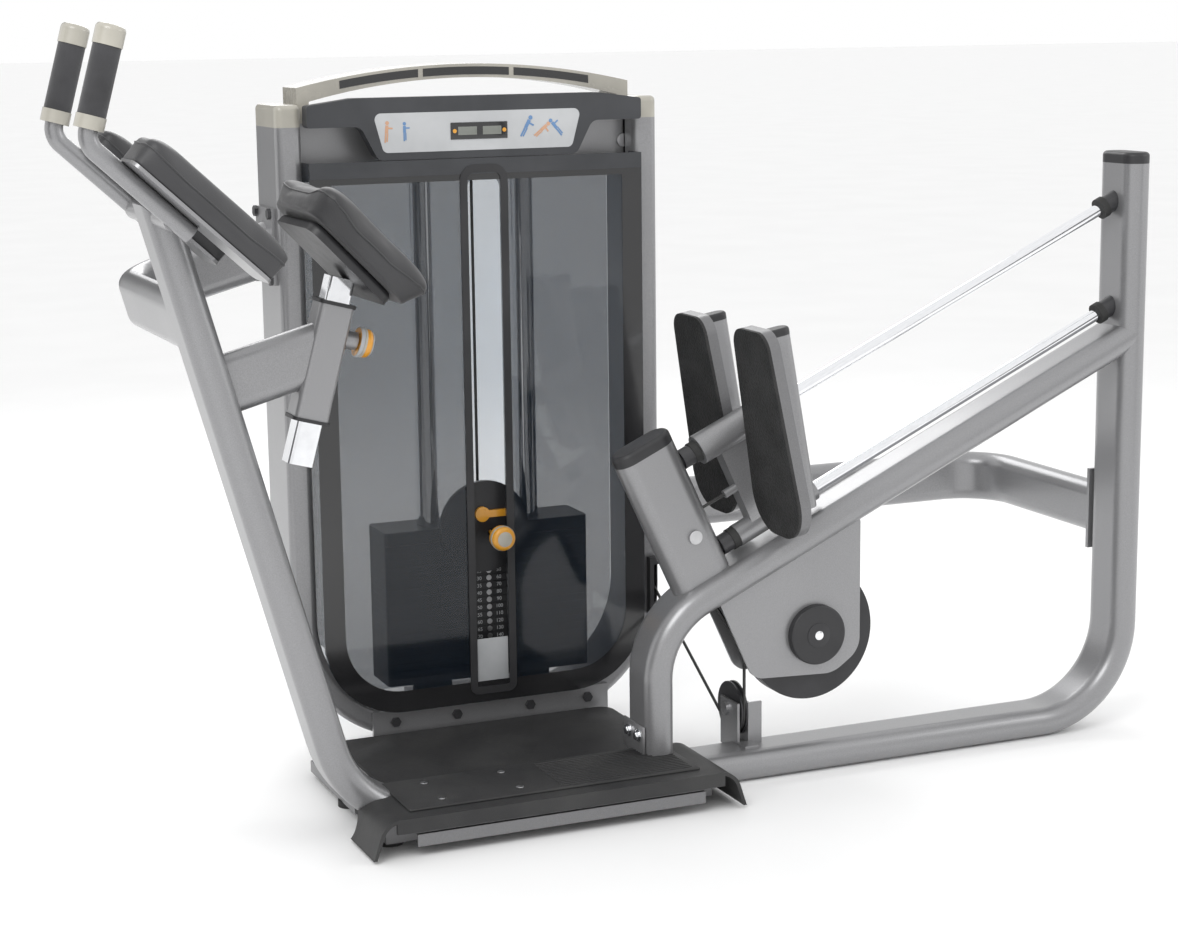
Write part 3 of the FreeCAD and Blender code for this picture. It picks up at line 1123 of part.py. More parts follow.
# ---------------------------------------------------------------- weight tower
def make_tower():
    """Columns, beams, caps, arch, bezel and shrouds round the weight stack."""
    depth_low = size("tower_front")
    depth_high = depth_low + size("column_depth")
    wall = size("column_wall")
    columns = []
    for side, label in ((-1, "tower_column_left"), (1, "tower_column_right")):
        middle = size("tower_centre_x") + side * (size("tower_width") - size("column_width")) / 2.0
        inner_end = middle - side * (size("column_bend") + 10.0)
        beam_z = size("beam_gap") + size("beam_height") / 2.0
        points = [Vector(inner_end, 0, beam_z), Vector(middle, 0, beam_z), Vector(middle, 0, size("column_height"))]
        outer = slab_column(points, size("column_width"), depth_low, depth_high, 14.0)
        bore = slab_column(points, size("column_width") - 2 * wall, depth_low + wall, depth_high - wall, 7.0)
        column = outer.cut(bore)
        if side > 0:
            column = column.cut(cable_windows())
        shaped(label, column)
        columns.append(outer)
    left_end = size("tower_centre_x") + 14.0 - size("beam_length") / 2.0
    right_end = left_end + size("beam_length")
    beam_low, beam_high = size("beam_gap"), size("beam_gap") + size("beam_height")
    front_beam = block(left_end, right_end, depth_low - 8.0, depth_low, beam_low, beam_high)
    tie = size("column_bend") + size("column_width") / 2.0 + 10.0
    floor_beam = block(TOWER_LEFT + tie, TOWER_RIGHT - tie, depth_low, depth_high, beam_low, beam_high)
    beams = [front_beam, floor_beam]
    top_z = size("top_pulley_z")
    inner_left = TOWER_LEFT + size("column_width")
    inner_right = TOWER_RIGHT - size("column_width")
    cheeks = []
    for side in (-1, 1):
        near = TOWER_MIDDLE_Y + side * 16.0
        far = TOWER_MIDDLE_Y + side * 22.0
        cheek = block(inner_left, inner_right, min(near, far), max(near, far), top_z - 60.0, top_z + 50.0)
        for centre in (TOP_RIGHT_PULLEY, TOP_LEFT_PULLEY):
            cheek = cheek.cut(rod(centre - Y_AXIS * 40, centre + Y_AXIS * 40, size("axle_radius")))
        cheeks.append(cheek)
    cheeks += [ring_block(STACK_X + sign * size("guide_spread"), top_z) for sign in (-1, 1)]
    group("tower_beams", beams + cheeks)
    make_tower_skin(depth_low, depth_high, columns)
    make_bolts(depth_low, left_end, right_end)


def ring_block(guide_x, top_z):
    """Block between the top beam's cheeks that holds a guide rod's end."""
    return block(guide_x - 16, guide_x + 16, TOWER_MIDDLE_Y - 16, TOWER_MIDDLE_Y + 16, top_z - 60, top_z - 48)


def slab_column(points, thick, depth_low, depth_high, corner):
    """A rounded box section swept up a column with one bend at its foot."""
    direction = (points[1] - points[0]).normalize()
    side = Z_AXIS
    half = thick / 2.0
    start = Vector(points[0].x, (depth_low + depth_high) / 2.0, points[0].z)
    reach = (depth_high - depth_low) / 2.0
    corners = [start + side * (half * a) + Y_AXIS * (reach * b) for a, b in ((-1, -1), (1, -1), (1, 1), (-1, 1))]
    profile = rounded_outline(corners, [corner])
    moved = [Vector(point.x, start.y, point.z) for point in points]
    if (moved[1] - moved[0]).dot(direction) <= 0:
        raise ValueError("column path runs backwards")
    return swept(rounded_path(moved, [size("column_bend")]), profile)


def cable_windows():
    """Openings in the right column where the lift cable enters below and leaves at the top."""
    top_z = size("top_pulley_z")
    clear = 30.0
    top = block(TOWER_RIGHT - size("column_width") - 5.0, TOWER_RIGHT - 25.0, TOWER_MIDDLE_Y - clear,
                TOWER_MIDDLE_Y + clear, top_z - 52.0, size("column_height") + 5.0)
    low = block(CABLE_X - 7.0, CABLE_X + 7.0, size("tower_front") - 5.0, size("tower_front") + 12.0, 225.0, 345.0)
    middle = column_axle_middle()
    reach = X_AXIS * size("column_width")
    return top.fuse([low, rod(middle - reach, middle + reach, size("axle_radius"))])


def make_tower_skin(depth_low, depth_high, columns):
    """Caps, arch, bezel with placard, and the see-through shrouds front and rear."""
    cap_low = size("column_height")
    cap_high = cap_low + size("column_cap_height")
    caps = []
    for side in (-1, 1):
        outer = TOWER_LEFT if side < 0 else TOWER_RIGHT
        inner = outer - side * size("column_width")
        corners = [Vector(outer, depth_low, cap_low), Vector(inner, depth_low, cap_low),
                   Vector(inner, depth_high, cap_low), Vector(outer, depth_high, cap_low)]
        cap = prism(rounded_outline(corners, [14.0]), Z_AXIS * size("column_cap_height"))
        caps.append(soften_top(cap, Z_AXIS, Vector(0, 0, cap_high), 10.0))
    group("column_caps", caps)
    inner_left, inner_right = TOWER_LEFT + size("column_width"), TOWER_RIGHT - size("column_width")
    arch = arch_outline(inner_left, inner_right)
    shaped("top_arch", prism(arch, Y_AXIS * size("arch_depth")))
    front = depth_low - size("shroud_forward")
    make_bezel(front, inner_left, inner_right)
    make_shrouds(front, depth_high, inner_left, inner_right, columns)


def arch_outline(left, right):
    """Outline of the arch: two curved edges between short legs on the columns' inner faces."""
    arch_y = TOWER_MIDDLE_Y - size("arch_depth") / 2.0
    middle, leg = (left + right) / 2.0, size("arch_leg")
    high, thick, low = size("arch_end"), size("arch_thick"), size("column_height") + 6.0
    crown = high + size("arch_rise")
    spots = [(left, low), (left, high), (middle, crown), (right, high), (right, low), (right - leg, low),
             (right - leg, high - thick), (middle, crown - thick), (left + leg, high - thick), (left + leg, low)]
    points = side_view(spots, arch_y)
    edges = [Part.LineSegment(points[0], points[1]), Part.Arc(points[1], points[2], points[3]),
             Part.LineSegment(points[3], points[4]), Part.LineSegment(points[4], points[5]),
             Part.LineSegment(points[5], points[6]), Part.Arc(points[6], points[7], points[8]),
             Part.LineSegment(points[8], points[9]), Part.LineSegment(points[9], points[0])]
    return Part.Wire([edge.toShape() for edge in edges])


def make_bezel(front, inner_left, inner_right):
    """Dark header panel with the blank placard set in it."""
    low, high = size("bezel_low"), size("bezel_high")
    corners = [Vector(inner_left, front, high - 12.0), Vector(inner_left, front, low + 64.0),
               Vector(inner_left + 104.0, front, low + 64.0), Vector(inner_left + 138.0, front, low),
               Vector(inner_right - 138.0, front, low), Vector(inner_right - 104.0, front, low + 64.0),
               Vector(inner_right, front, low + 64.0), Vector(inner_right, front, high - 12.0),
               Vector(inner_right - 90.0, front, high), Vector(inner_left + 90.0, front, high)]
    radii = [6.0, 6.0, 20.0, 20.0, 20.0, 20.0, 6.0, 6.0, 20.0, 20.0]
    panel = prism(rounded_outline(corners, radii), Y_AXIS * size("bezel_thick"))
    half = size("placard_width") / 2.0
    place_low = low + 14.0
    taper = 20.0
    middle = size("tower_centre_x")
    corners = [Vector(middle - half + taper, front, place_low), Vector(middle + half - taper, front, place_low),
               Vector(middle + half, front, place_low + size("placard_height")),
               Vector(middle - half, front, place_low + size("placard_height"))]
    recess = prism(rounded_outline(corners, [12.0]), Y_AXIS * 3.0)
    shaped("bezel", panel.cut(recess))
    plate = prism(rounded_outline(corners, [12.0]), Y_AXIS * 3.0)
    plate.translate(Y_AXIS * -0.5)
    shaped("placard", plate.cut(panel.cut(recess)))


def make_shrouds(front, depth_high, inner_left, inner_right, columns):
    """Front shroud with its selector slot, and the plain rear shroud."""
    thick = size("shroud_thick")
    low = size("beam_gap") + size("beam_height") + 2.0
    high = size("bezel_low") - 1.0
    left, right = inner_left, inner_right
    corners = [Vector(left, front, high), Vector(left, front, low), Vector(right, front, low),
               Vector(right, front, high)]
    sheet = prism(rounded_outline(corners, [6.0, size("shroud_corner"), size("shroud_corner"), 6.0]), Y_AXIS * thick)
    slot_left = size("slot_x") - size("slot_width") / 2.0
    slot_right = size("slot_x") + size("slot_width") / 2.0
    slot_low, slot_high = STACK_LOW - 6.0, high - 30.0
    corners = [Vector(slot_left, front - 1, slot_low), Vector(slot_right, front - 1, slot_low),
               Vector(slot_right, front - 1, slot_high), Vector(slot_left, front - 1, slot_high)]
    slot = prism(rounded_outline(corners, [4.0, 4.0, 30.0, 30.0]), Y_AXIS * (thick + 2))
    returns = []
    for side, inner in ((-1, left), (1, right)):
        near = inner if side < 0 else inner - thick
        returns.append(block(near, near + thick, front + thick, size("tower_front") + 20.0, 240.0, high))
    returns = [piece.cut(columns) for piece in returns]
    shaped("front_shroud", sheet.cut(slot).fuse(returns).removeSplitter())
    corners = [Vector(left, depth_high - thick - 4, high), Vector(left, depth_high - thick - 4, low),
               Vector(right, depth_high - thick - 4, low), Vector(right, depth_high - thick - 4, high)]
    radii = [6.0, size("shroud_corner"), size("shroud_corner"), 6.0]
    shaped("rear_shroud", prism(rounded_outline(corners, radii), Y_AXIS * thick).cut(columns))


def make_bolts(depth_low, left_end, right_end):
    """Heads of the bolts along the tower's front beam and on the braces' end plates."""
    bolts = []
    front = depth_low - 8.0
    middle_z = size("beam_gap") + size("beam_height") / 2.0
    for spot_x in (left_end + 46.0, left_end + 175.0, right_end - 172.0, right_end - 46.0):
        for spot_z in (middle_z - 17.0, middle_z + 17.0):
            bolts.append(hexagon_head(Vector(spot_x, front, spot_z), Y_AXIS * -1, "bolt_flats", "bolt_height"))
    for spot_y in (TOWER_MIDDLE_Y - 42.0, TOWER_MIDDLE_Y + 52.0):
        for spot_z in (950.0, 1075.0):
            bolts.append(hexagon_head(Vector(TOWER_LEFT - 8.0, spot_y, spot_z), X_AXIS * -1, "bolt_flats", "bolt_height"))
    for spot_z in (367.0, 503.0):
        bolts.append(hexagon_head(Vector(TOWER_RIGHT + 8.0, TOWER_MIDDLE_Y, spot_z), X_AXIS, "bolt_flats", "bolt_height"))
    native_group("frame_bolts", bolts)


make_slide_rods()
make_carriage()
make_drive()
make_stack()
make_tower()

# ---------------------------------------------------------------- checks and export
DOCUMENT.recompute()
for thing in DOCUMENT.Objects:
    if "Invalid" in thing.State or "Error" in thing.State:
        raise RuntimeError("failed object: " + thing.Label)
for thing in NODES:
    if thing.Shape.isNull() or not thing.Shape.isValid():
        raise RuntimeError("bad shape: " + thing.Label)
os.makedirs("parts", exist_ok=True)
for thing in NODES:
    thing.Shape.exportStep("parts/" + thing.Label + ".step")
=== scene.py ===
# %% [markdown]
# The machine is a standing rear-kick trainer: a bent tube frame, a weight tower behind smoked panels, and
# a carriage with two foot plates on chrome rods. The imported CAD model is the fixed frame, and every piece
# made here is set around it, in metres.

# %% Load the frame
import math

import bmesh
import bpy
from mathutils import Matrix, Vector


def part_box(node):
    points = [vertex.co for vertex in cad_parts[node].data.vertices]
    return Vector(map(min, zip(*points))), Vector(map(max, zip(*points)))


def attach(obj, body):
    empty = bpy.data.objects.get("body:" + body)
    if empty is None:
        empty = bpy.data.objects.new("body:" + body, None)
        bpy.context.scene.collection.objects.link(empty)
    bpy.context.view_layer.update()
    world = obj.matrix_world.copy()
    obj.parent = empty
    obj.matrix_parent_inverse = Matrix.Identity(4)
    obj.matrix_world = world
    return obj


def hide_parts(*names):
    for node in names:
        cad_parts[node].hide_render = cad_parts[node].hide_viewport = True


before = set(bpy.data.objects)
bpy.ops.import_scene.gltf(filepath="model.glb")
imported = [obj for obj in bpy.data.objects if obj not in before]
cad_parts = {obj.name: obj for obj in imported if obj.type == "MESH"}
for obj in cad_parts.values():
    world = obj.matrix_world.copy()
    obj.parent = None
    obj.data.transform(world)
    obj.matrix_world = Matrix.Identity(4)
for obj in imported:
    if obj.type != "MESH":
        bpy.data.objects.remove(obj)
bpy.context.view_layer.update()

# %% [markdown]
# The camera stands in front of the hand grips and looks a little down, through a long lens, so the frame's
# tubes keep their true proportions.

# %% Camera
LENS, SENSOR = 72.95, 36.0
YAW, PITCH, ROLL = math.radians(23.0426), math.radians(10.7076), math.radians(0.7193)
CAMERA_PLACE = Vector((-1.806, -4.101, 1.430))
forward = Vector((math.sin(YAW) * math.cos(PITCH), math.cos(YAW) * math.cos(PITCH), -math.sin(PITCH)))
level_right = Vector((math.cos(YAW), -math.sin(YAW), 0.0))
level_down = forward.cross(level_right)
right = level_right * math.cos(ROLL) + level_down * math.sin(ROLL)
down = level_down * math.cos(ROLL) - level_right * math.sin(ROLL)
camera_data = bpy.data.cameras.new("camera")
camera_data.lens, camera_data.sensor_width = LENS, SENSOR
camera = bpy.data.objects.new("camera", camera_data)
bpy.context.scene.collection.objects.link(camera)
turn = Matrix((right, -down, -forward)).transposed()
camera.matrix_world = Matrix.Translation(CAMERA_PLACE) @ turn.to_4x4()
bpy.context.scene.camera = camera

# %% [markdown]
# Each finish is a small node tree on Object coordinates. A helper holds the nodes that they all share:
# noise for colour and gloss that vary, and a bump for the surface's own grain.


# %% Finish helper
class Finish:
    """One material: a Principled shader with noise-driven colour, roughness and bump."""

    def __init__(self, name, rough=0.5, metal=0.0, coat=0.0, coat_rough=0.1, sheen=0.0):
        self.material = bpy.data.materials.new(name)
        self.material.use_nodes = True
        tree = self.material.node_tree
        self.nodes, self.links = tree.nodes, tree.links
        self.shader = self.nodes["Principled BSDF"]
        self.place = self.nodes.new("ShaderNodeTexCoord").outputs["Object"]
        self.set("Roughness", rough)
        self.set("Metallic", metal)
        self.set("Coat Weight", coat)
        self.set("Coat Roughness", coat_rough)
        self.set("Sheen Weight", sheen)
        self.height = None

    def set(self, socket, value):
        self.shader.inputs[socket].default_value = value

    def mapped(self, scale, turn=(0.0, 0.0, 0.0)):
        node = self.nodes.new("ShaderNodeMapping")
        node.inputs["Scale"].default_value = scale
        node.inputs["Rotation"].default_value = turn
        self.links.new(self.place, node.inputs["Vector"])
        return node.outputs["Vector"]

    def noise(self, scale, detail=4.0, place=None):
        node = self.nodes.new("ShaderNodeTexNoise")
        node.inputs["Scale"].default_value = scale
        node.inputs["Detail"].default_value = detail
        self.links.new(place or self.place, node.inputs["Vector"])
        return node.outputs["Fac"]

    def cells(self, scale, feature="F1", place=None):
        node = self.nodes.new("ShaderNodeTexVoronoi")
        node.feature = feature
        node.inputs["Scale"].default_value = scale
        self.links.new(place or self.place, node.inputs["Vector"])
        return node.outputs["Distance"]

    def wave(self, scale, place=None, direction="X"):
        node = self.nodes.new("ShaderNodeTexWave")
        node.bands_direction = direction
        node.inputs["Scale"].default_value = scale
        self.links.new(place or self.place, node.inputs["Vector"])
        return node.outputs["Fac"]

    def colours(self, source, low, high, start=0.35, end=0.65):
        node = self.nodes.new("ShaderNodeValToRGB")
        stops = node.color_ramp.elements
        stops[0].position, stops[0].color = start, (*low, 1.0)
        stops[1].position, stops[1].color = end, (*high, 1.0)
        self.links.new(source, node.inputs["Fac"])
        self.links.new(node.outputs["Color"], self.shader.inputs["Base Color"])
        return self

    def span(self, source, low, high, socket="Roughness"):
        node = self.nodes.new("ShaderNodeMapRange")
        node.inputs["To Min"].default_value = low
        node.inputs["To Max"].default_value = high
        self.links.new(source, node.inputs["Value"])
        self.links.new(node.outputs["Result"], self.shader.inputs[socket])
        return self

    def bump(self, source, strength, distance):
        node = self.nodes.new("ShaderNodeBump")
        node.inputs["Strength"].default_value = strength
        node.inputs["Distance"].default_value = distance
        self.links.new(source, node.inputs["Height"])
        if self.height is not None:
            self.links.new(self.height, node.inputs["Normal"])
        self.height = node.outputs["Normal"]
        self.links.new(self.height, self.shader.inputs["Normal"])
        return self


# %% [markdown]
# The frame's paint is a silver powder coat: metal flakes under a clear layer. Fine noise scatters the
# flakes' gloss, and a broad noise keeps long tubes from looking like one flat tone.


# %% Paints and metals
FLAKE_SCALE, GLOSS_SCALE, PEEL_SCALE = 900.0, 6.0, 420.0
DRAWN_LINES = (1.0, 14.0, 1.0)


def flake_paint(name, dark, light, rough, metal):
    """Metallic powder coat with a faint orange-peel surface."""
    look = Finish(name, rough=rough, metal=metal, coat=0.35, coat_rough=0.18)
    look.colours(look.noise(FLAKE_SCALE, 2.0), dark, light, 0.3, 0.7)
    look.span(look.noise(GLOSS_SCALE, 5.0), rough - 0.05, rough + 0.07)
    look.bump(look.noise(PEEL_SCALE, 2.0), 0.10, 0.0004)
    return look.material


silver = flake_paint("silver_powder_coat", (0.25, 0.25, 0.257), (0.325, 0.325, 0.332), 0.33, 0.6)
plate_paint = flake_paint("plate_powder_coat", (0.15, 0.15, 0.155), (0.21, 0.21, 0.215), 0.40, 0.5)
dark_paint = flake_paint("dark_powder_coat", (0.030, 0.030, 0.032), (0.050, 0.050, 0.054), 0.42, 0.3)


def polished(name, low, high, rough):
    """Bright metal with fine drawn lines."""
    look = Finish(name, rough=rough, metal=1.0)
    lines = look.noise(60.0, 6.0, look.mapped(DRAWN_LINES))
    look.colours(lines, low, high, 0.2, 0.8)
    look.span(lines, rough * 0.7, rough * 1.5)
    look.bump(lines, 0.03, 0.0002)
    return look.material


chrome = polished("chrome_plate", (0.80, 0.81, 0.83), (0.92, 0.93, 0.95), 0.07)
steel = polished("turned_steel", (0.45, 0.45, 0.46), (0.62, 0.62, 0.63), 0.28)

# %% [markdown]
# Moulded plastic shows a fine spark-eroded grain, rubber a coarser one with a dusty bloom. Foam grips are
# covered in tiny open cells.


# %% Plastics, rubber and foam
def moulded(name, low, high, rough, grain=700.0, relief=0.12, coat=0.0):
    """Injection-moulded plastic or rubber: fine grain and slight colour drift."""
    look = Finish(name, rough=rough, coat=coat)
    look.colours(look.noise(9.0, 6.0), low, high)
    look.span(look.noise(35.0, 4.0), rough - 0.06, rough + 0.08)
    look.bump(look.cells(grain), relief, 0.0006)
    return look.material


black_plastic = moulded("moulded_black", (0.016, 0.016, 0.018), (0.026, 0.026, 0.028), 0.42)
hood_plastic = moulded("hood_charcoal", (0.030, 0.032, 0.036), (0.045, 0.047, 0.052), 0.45)
cream = moulded("champagne_plastic", (0.36, 0.345, 0.30), (0.44, 0.42, 0.365), 0.30, relief=0.04, coat=0.4)
arch_cream = moulded("arch_champagne", (0.34, 0.325, 0.285), (0.42, 0.40, 0.35),
                     0.26, relief=0.03, coat=0.5)
pulley_black = moulded("pulley_nylon", (0.018, 0.018, 0.020), (0.030, 0.030, 0.033), 0.35, relief=0.05)
rubber = moulded("black_rubber", (0.018, 0.018, 0.018), (0.032, 0.032, 0.031),
                 0.72, grain=420.0, relief=0.25)
tread_rubber = moulded("tread_rubber", (0.020, 0.020, 0.021), (0.034, 0.034, 0.034),
                       0.55, grain=330.0, relief=0.4)
orange = moulded("amber_plastic", (0.62, 0.27, 0.02), (0.74, 0.35, 0.03), 0.28, relief=0.03, coat=0.5)
stack_iron = moulded("stack_iron", (0.012, 0.012, 0.014), (0.022, 0.022, 0.024),
                     0.38, grain=260.0, relief=0.2)
glossy_black = moulded("glossy_black", (0.010, 0.010, 0.011), (0.014, 0.014, 0.015),
                       0.12, relief=0.01, coat=0.6)
white_print = moulded("pale_print", (0.42, 0.43, 0.44), (0.50, 0.51, 0.52), 0.45, relief=0.02)
grey_print = moulded("grey_label", (0.34, 0.35, 0.36), (0.42, 0.43, 0.44), 0.45, relief=0.02)
blue_print = moulded("blue_print", (0.10, 0.20, 0.38), (0.14, 0.26, 0.46), 0.4, relief=0.02)
skin_print = moulded("tan_print", (0.50, 0.28, 0.17), (0.58, 0.34, 0.22), 0.4, relief=0.02)
display_face = moulded("display_face", (0.16, 0.17, 0.15), (0.20, 0.21, 0.19),
                       0.2, relief=0.01, coat=0.6)


def foam():
    """Closed-cell grip foam: small pits and a soft sheen."""
    look = Finish("grip_foam", rough=0.82, sheen=0.25)
    pits = look.cells(900.0)
    look.colours(look.noise(14.0, 6.0), (0.028, 0.028, 0.030), (0.048, 0.048, 0.052))
    look.bump(pits, 0.5, 0.0008)
    look.bump(look.noise(220.0, 4.0), 0.2, 0.0006)
    return look.material


def upholstery():
    """Gym vinyl: leather grain over shallow creases, with a satin gloss that drifts."""
    look = Finish("charcoal_vinyl", rough=0.5, sheen=0.15)
    grain = look.cells(520.0, "SMOOTH_F1")
    look.colours(look.noise(5.0, 5.0), (0.024, 0.024, 0.026), (0.042, 0.042, 0.045))
    look.span(look.noise(11.0, 5.0), 0.40, 0.60)
    look.bump(grain, 0.35, 0.0007)
    look.bump(look.noise(90.0, 5.0), 0.18, 0.0010)
    return look.material


def cable_jacket():
    """Nylon jacket over a wire rope: the lay shows through as fine slanting ridges."""
    look = Finish("cable_jacket", rough=0.38, coat=0.3)
    lay = look.wave(150.0, look.mapped((1.0, 1.0, 1.0), (0.0, 0.6, 0.5)))
    look.colours(look.noise(30.0, 4.0), (0.012, 0.012, 0.012), (0.022, 0.022, 0.022))
    look.bump(lay, 0.3, 0.0005)
    return look.material


def foot_rubber():
    """Foot tread: a pebbled grain of small rounded cells."""
    look = Finish("foot_tread", rough=0.68)
    weave = look.cells(260.0, "F1", look.mapped((1.0, 1.0, 1.0), (0.0, 0.17, 0.0)))
    look.colours(look.noise(20.0, 5.0), (0.012, 0.012, 0.012), (0.024, 0.024, 0.024))
    look.span(weave, 0.58, 0.78)
    look.bump(weave, 0.9, 0.0016)
    return look.material


foam_look, vinyl, jacket, foot_look = foam(), upholstery(), cable_jacket(), foot_rubber()

# %% [markdown]
# The tower's covers are sheets of smoked acrylic. One sheet tints what is behind it, two make it dusky.
# Alpha on the Principled shader lets light through to the weight stack, which glass with refraction
# would leave in its own shadow.


# %% Smoked panels
def smoked(name, tint_low, tint_high, alpha):
    """Tinted acrylic with a glossy face and faint streaks."""
    look = Finish(name, rough=0.06, coat=0.3)
    streaks = look.noise(3.0, 3.0, look.mapped((1.0, 1.0, 0.25)))
    look.colours(streaks, tint_low, tint_high)
    look.set("Alpha", alpha)
    return look.material


front_smoke = smoked("smoked_front", (0.006, 0.011, 0.018), (0.010, 0.016, 0.025), 0.46)
rear_smoke = smoked("smoked_rear", (0.09, 0.25, 0.40), (0.12, 0.29, 0.46), 0.30)

# %% [markdown]
# Every CAD node that stays in view takes one of these finishes in its own material slots.

# %% Finishes on the CAD nodes
NODE_FINISHES = {
    silver: "user_upright base_rail rear_upright incline_rail front_post left_brace right_brace handle_frame "
            "chest_arm chest_sleeve cam_side_plates pulley_bracket tower_column_left tower_column_right "
            "tower_beams carriage_frame",
    plate_paint: "foot_plates floor_bars",
    dark_paint: "frame_bolts rod_fittings",
    chrome: "slide_rods stack_guide_rods chest_post",
    steel: "pulley_axles",
    black_plastic: "tube_end_caps sleeve_bushes drive_guards chest_pad_shell back_post_caps",
    hood_plastic: "bezel",
    cream: "grip_collars column_caps",
    arch_cream: "top_arch",
    pulley_black: "cam_wheel post_pulley base_pulley column_pulley top_pulley_left top_pulley_right",
    rubber: "rubber_feet rubber_bumpers",
    tread_rubber: "front_platform rear_platform",
    orange: "selector_pin add_on_lever pull_knob",
    stack_iron: "resting_plates stack_top_plate add_on_disc",
    foam_look: "hand_grips",
    vinyl: "chest_pad arm_pad_left arm_pad_right",
    jacket: "drive_cables carriage_cable stack_cable",
    foot_look: "foot_pads",
    front_smoke: "front_shroud",
    rear_smoke: "rear_shroud",
    white_print: "placard",
}
finished = set()
for material, names in NODE_FINISHES.items():
    for name in names.split():
        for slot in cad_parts[name].material_slots:
            slot.material = material
        finished.add(name)
print("nodes without a finish:", sorted(set(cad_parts) - finished))

# %% [markdown]
# Pieces share one way of becoming an object: the mesh is welded, its faces are turned outwards, and it
# rides on a CAD body. Their sizes are given in millimetres.


# %% Piece helpers
MM = 0.001
SMOOTH_ANGLE = math.radians(38)
WELD_DISTANCE = 1e-6
FLAT_TOLERANCE = 1e-6
RIM_ANGLE = 1.0
CORNER_SEGMENTS = 10


def piece(name, mesh_maker, material, body="frame"):
    """Turns a bmesh into a finished object that rides on a body."""
    bmesh.ops.remove_doubles(mesh_maker, verts=mesh_maker.verts, dist=WELD_DISTANCE)
    bmesh.ops.recalc_face_normals(mesh_maker, faces=mesh_maker.faces)
    mesh = bpy.data.meshes.new(name)
    mesh_maker.to_mesh(mesh)
    mesh_maker.free()
    mesh.materials.append(material)
    mesh.shade_smooth()
    mesh.set_sharp_from_angle(angle=SMOOTH_ANGLE)
    made = bpy.data.objects.new(name, mesh)
    bpy.context.scene.collection.objects.link(made)
    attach(made, body)
    return made


def soft_block(bm, low, high, rounding=0.0006, segments=2):
    """Adds a box between two corners with rounded edges."""
    low, high = Vector(low), Vector(high)
    size = high - low
    place = Matrix.Translation((low + high) / 2) @ Matrix.Diagonal((*size, 1.0))
    made = bmesh.ops.create_cube(bm, size=1.0, matrix=place)
    edges = {edge for vert in made["verts"] for edge in vert.link_edges}
    if rounding:
        bmesh.ops.bevel(bm, geom=list(edges), offset=rounding, offset_type="OFFSET", affect="EDGES",
                        segments=segments, profile=0.5, material=-1)


def disc(bm, centre, axis, radius, height, rounding=0.0008, segments=40):
    """Adds a round button that stands on its centre along an axis, with a rounded rim."""
    turn = Vector((0, 0, 1)).rotation_difference(Vector(axis)).to_matrix().to_4x4()
    place = Matrix.Translation(Vector(centre) + Vector(axis).normalized() * height / 2) @ turn
    made = bmesh.ops.create_cone(bm, cap_ends=True, segments=segments, radius1=radius, radius2=radius,
                                 depth=height, matrix=place)
    rim = {edge for vert in made["verts"] for edge in vert.link_edges
           if len(edge.link_faces) == 2 and edge.calc_face_angle(0.0) > RIM_ANGLE}
    if rounding:
        bmesh.ops.bevel(bm, geom=list(rim), offset=rounding, offset_type="OFFSET", affect="EDGES",
                        segments=2, profile=0.5, material=-1)


def front_ring(bm, low_x, high_x, low_z, high_z, y, width, thick, corner_low, corner_high):
    """Adds a flat frame that faces -Y: an outline with rounded corners, inset, and given a thickness."""
    spots = [(low_x, low_z), (high_x, low_z), (high_x, high_z), (low_x, high_z)]
    verts = [bm.verts.new((x, y, z)) for x, z in spots]
    bm.faces.new(verts)
    for pair, corner in ((verts[:2], corner_low), (verts[2:], corner_high)):
        if corner:
            bmesh.ops.bevel(bm, geom=pair, offset=corner, offset_type="OFFSET", affect="VERTICES",
                            segments=CORNER_SEGMENTS, profile=0.5, material=-1)
    if width:
        flat = (f for f in bm.faces if abs(f.calc_center_median().y - y) < FLAT_TOLERANCE)
        face = max(flat, key=lambda f: f.calc_area())
        bmesh.ops.inset_region(bm, faces=[face], thickness=width, use_even_offset=True, use_boundary=True)
        bmesh.ops.delete(bm, geom=[face], context="FACES")
    flat = [f for f in bm.faces if all(abs(v.co.y - y) < FLAT_TOLERANCE for v in f.verts)]
    made = bmesh.ops.extrude_face_region(bm, geom=flat)
    moved = [v for v in made["geom"] if isinstance(v, bmesh.types.BMVert)]
    bmesh.ops.translate(bm, vec=(0, -thick, 0), verts=moved)


def numbers(name, rows, x, y, size, material, body="frame"):
    """Flat numbers, one per row, facing -Y."""
    joined = bmesh.new()
    for text, z in rows:
        curve = bpy.data.curves.new(name, "FONT")
        curve.body, curve.size, curve.align_x, curve.align_y = text, size, "CENTER", "CENTER"
        curve.extrude = 0.2 * MM
        label = bpy.data.objects.new(name, curve)
        flat = bpy.data.meshes.new_from_object(label)
        flat.transform(Matrix.Translation((x, y, z)) @ Matrix.Rotation(math.radians(90), 4, "X"))
        joined.from_mesh(flat)
        bpy.data.objects.remove(label)
        bpy.data.meshes.remove(flat)
        bpy.data.curves.remove(curve)
    return piece(name, joined, material, body)


# %% [markdown]
# The cushions are foam blocks under stretched vinyl: the top swells to a crown, the sides bulge softly,
# and the back lies flat on its plate. A cloth simulation with inner pressure makes that shape. The back
# is pinned, and a cap keeps the swelling inside the space that the cushion has. Each pad is named with its
# slope in degrees, body, cap, corner radius and taper.

# %% Cushions
VOXEL = 0.0045
PRESSURE = 4.0
FRAMES = 20
RELAX_PASSES = 14
CLOTH_QUALITY = 4
PAD_SHRINK = 0.0035
TAPER_START = 0.5
PINNED_DEPTH = 0.006
CROWN_ROOM = 0.004
WELT_RADIUS, WELT_STEP, WELT_STANDOFF = 0.0016, 0.012, 0.0004
WELT_REACH, WELT_LEVEL, CORNER_POINTS = 1.06, 1.15, 9


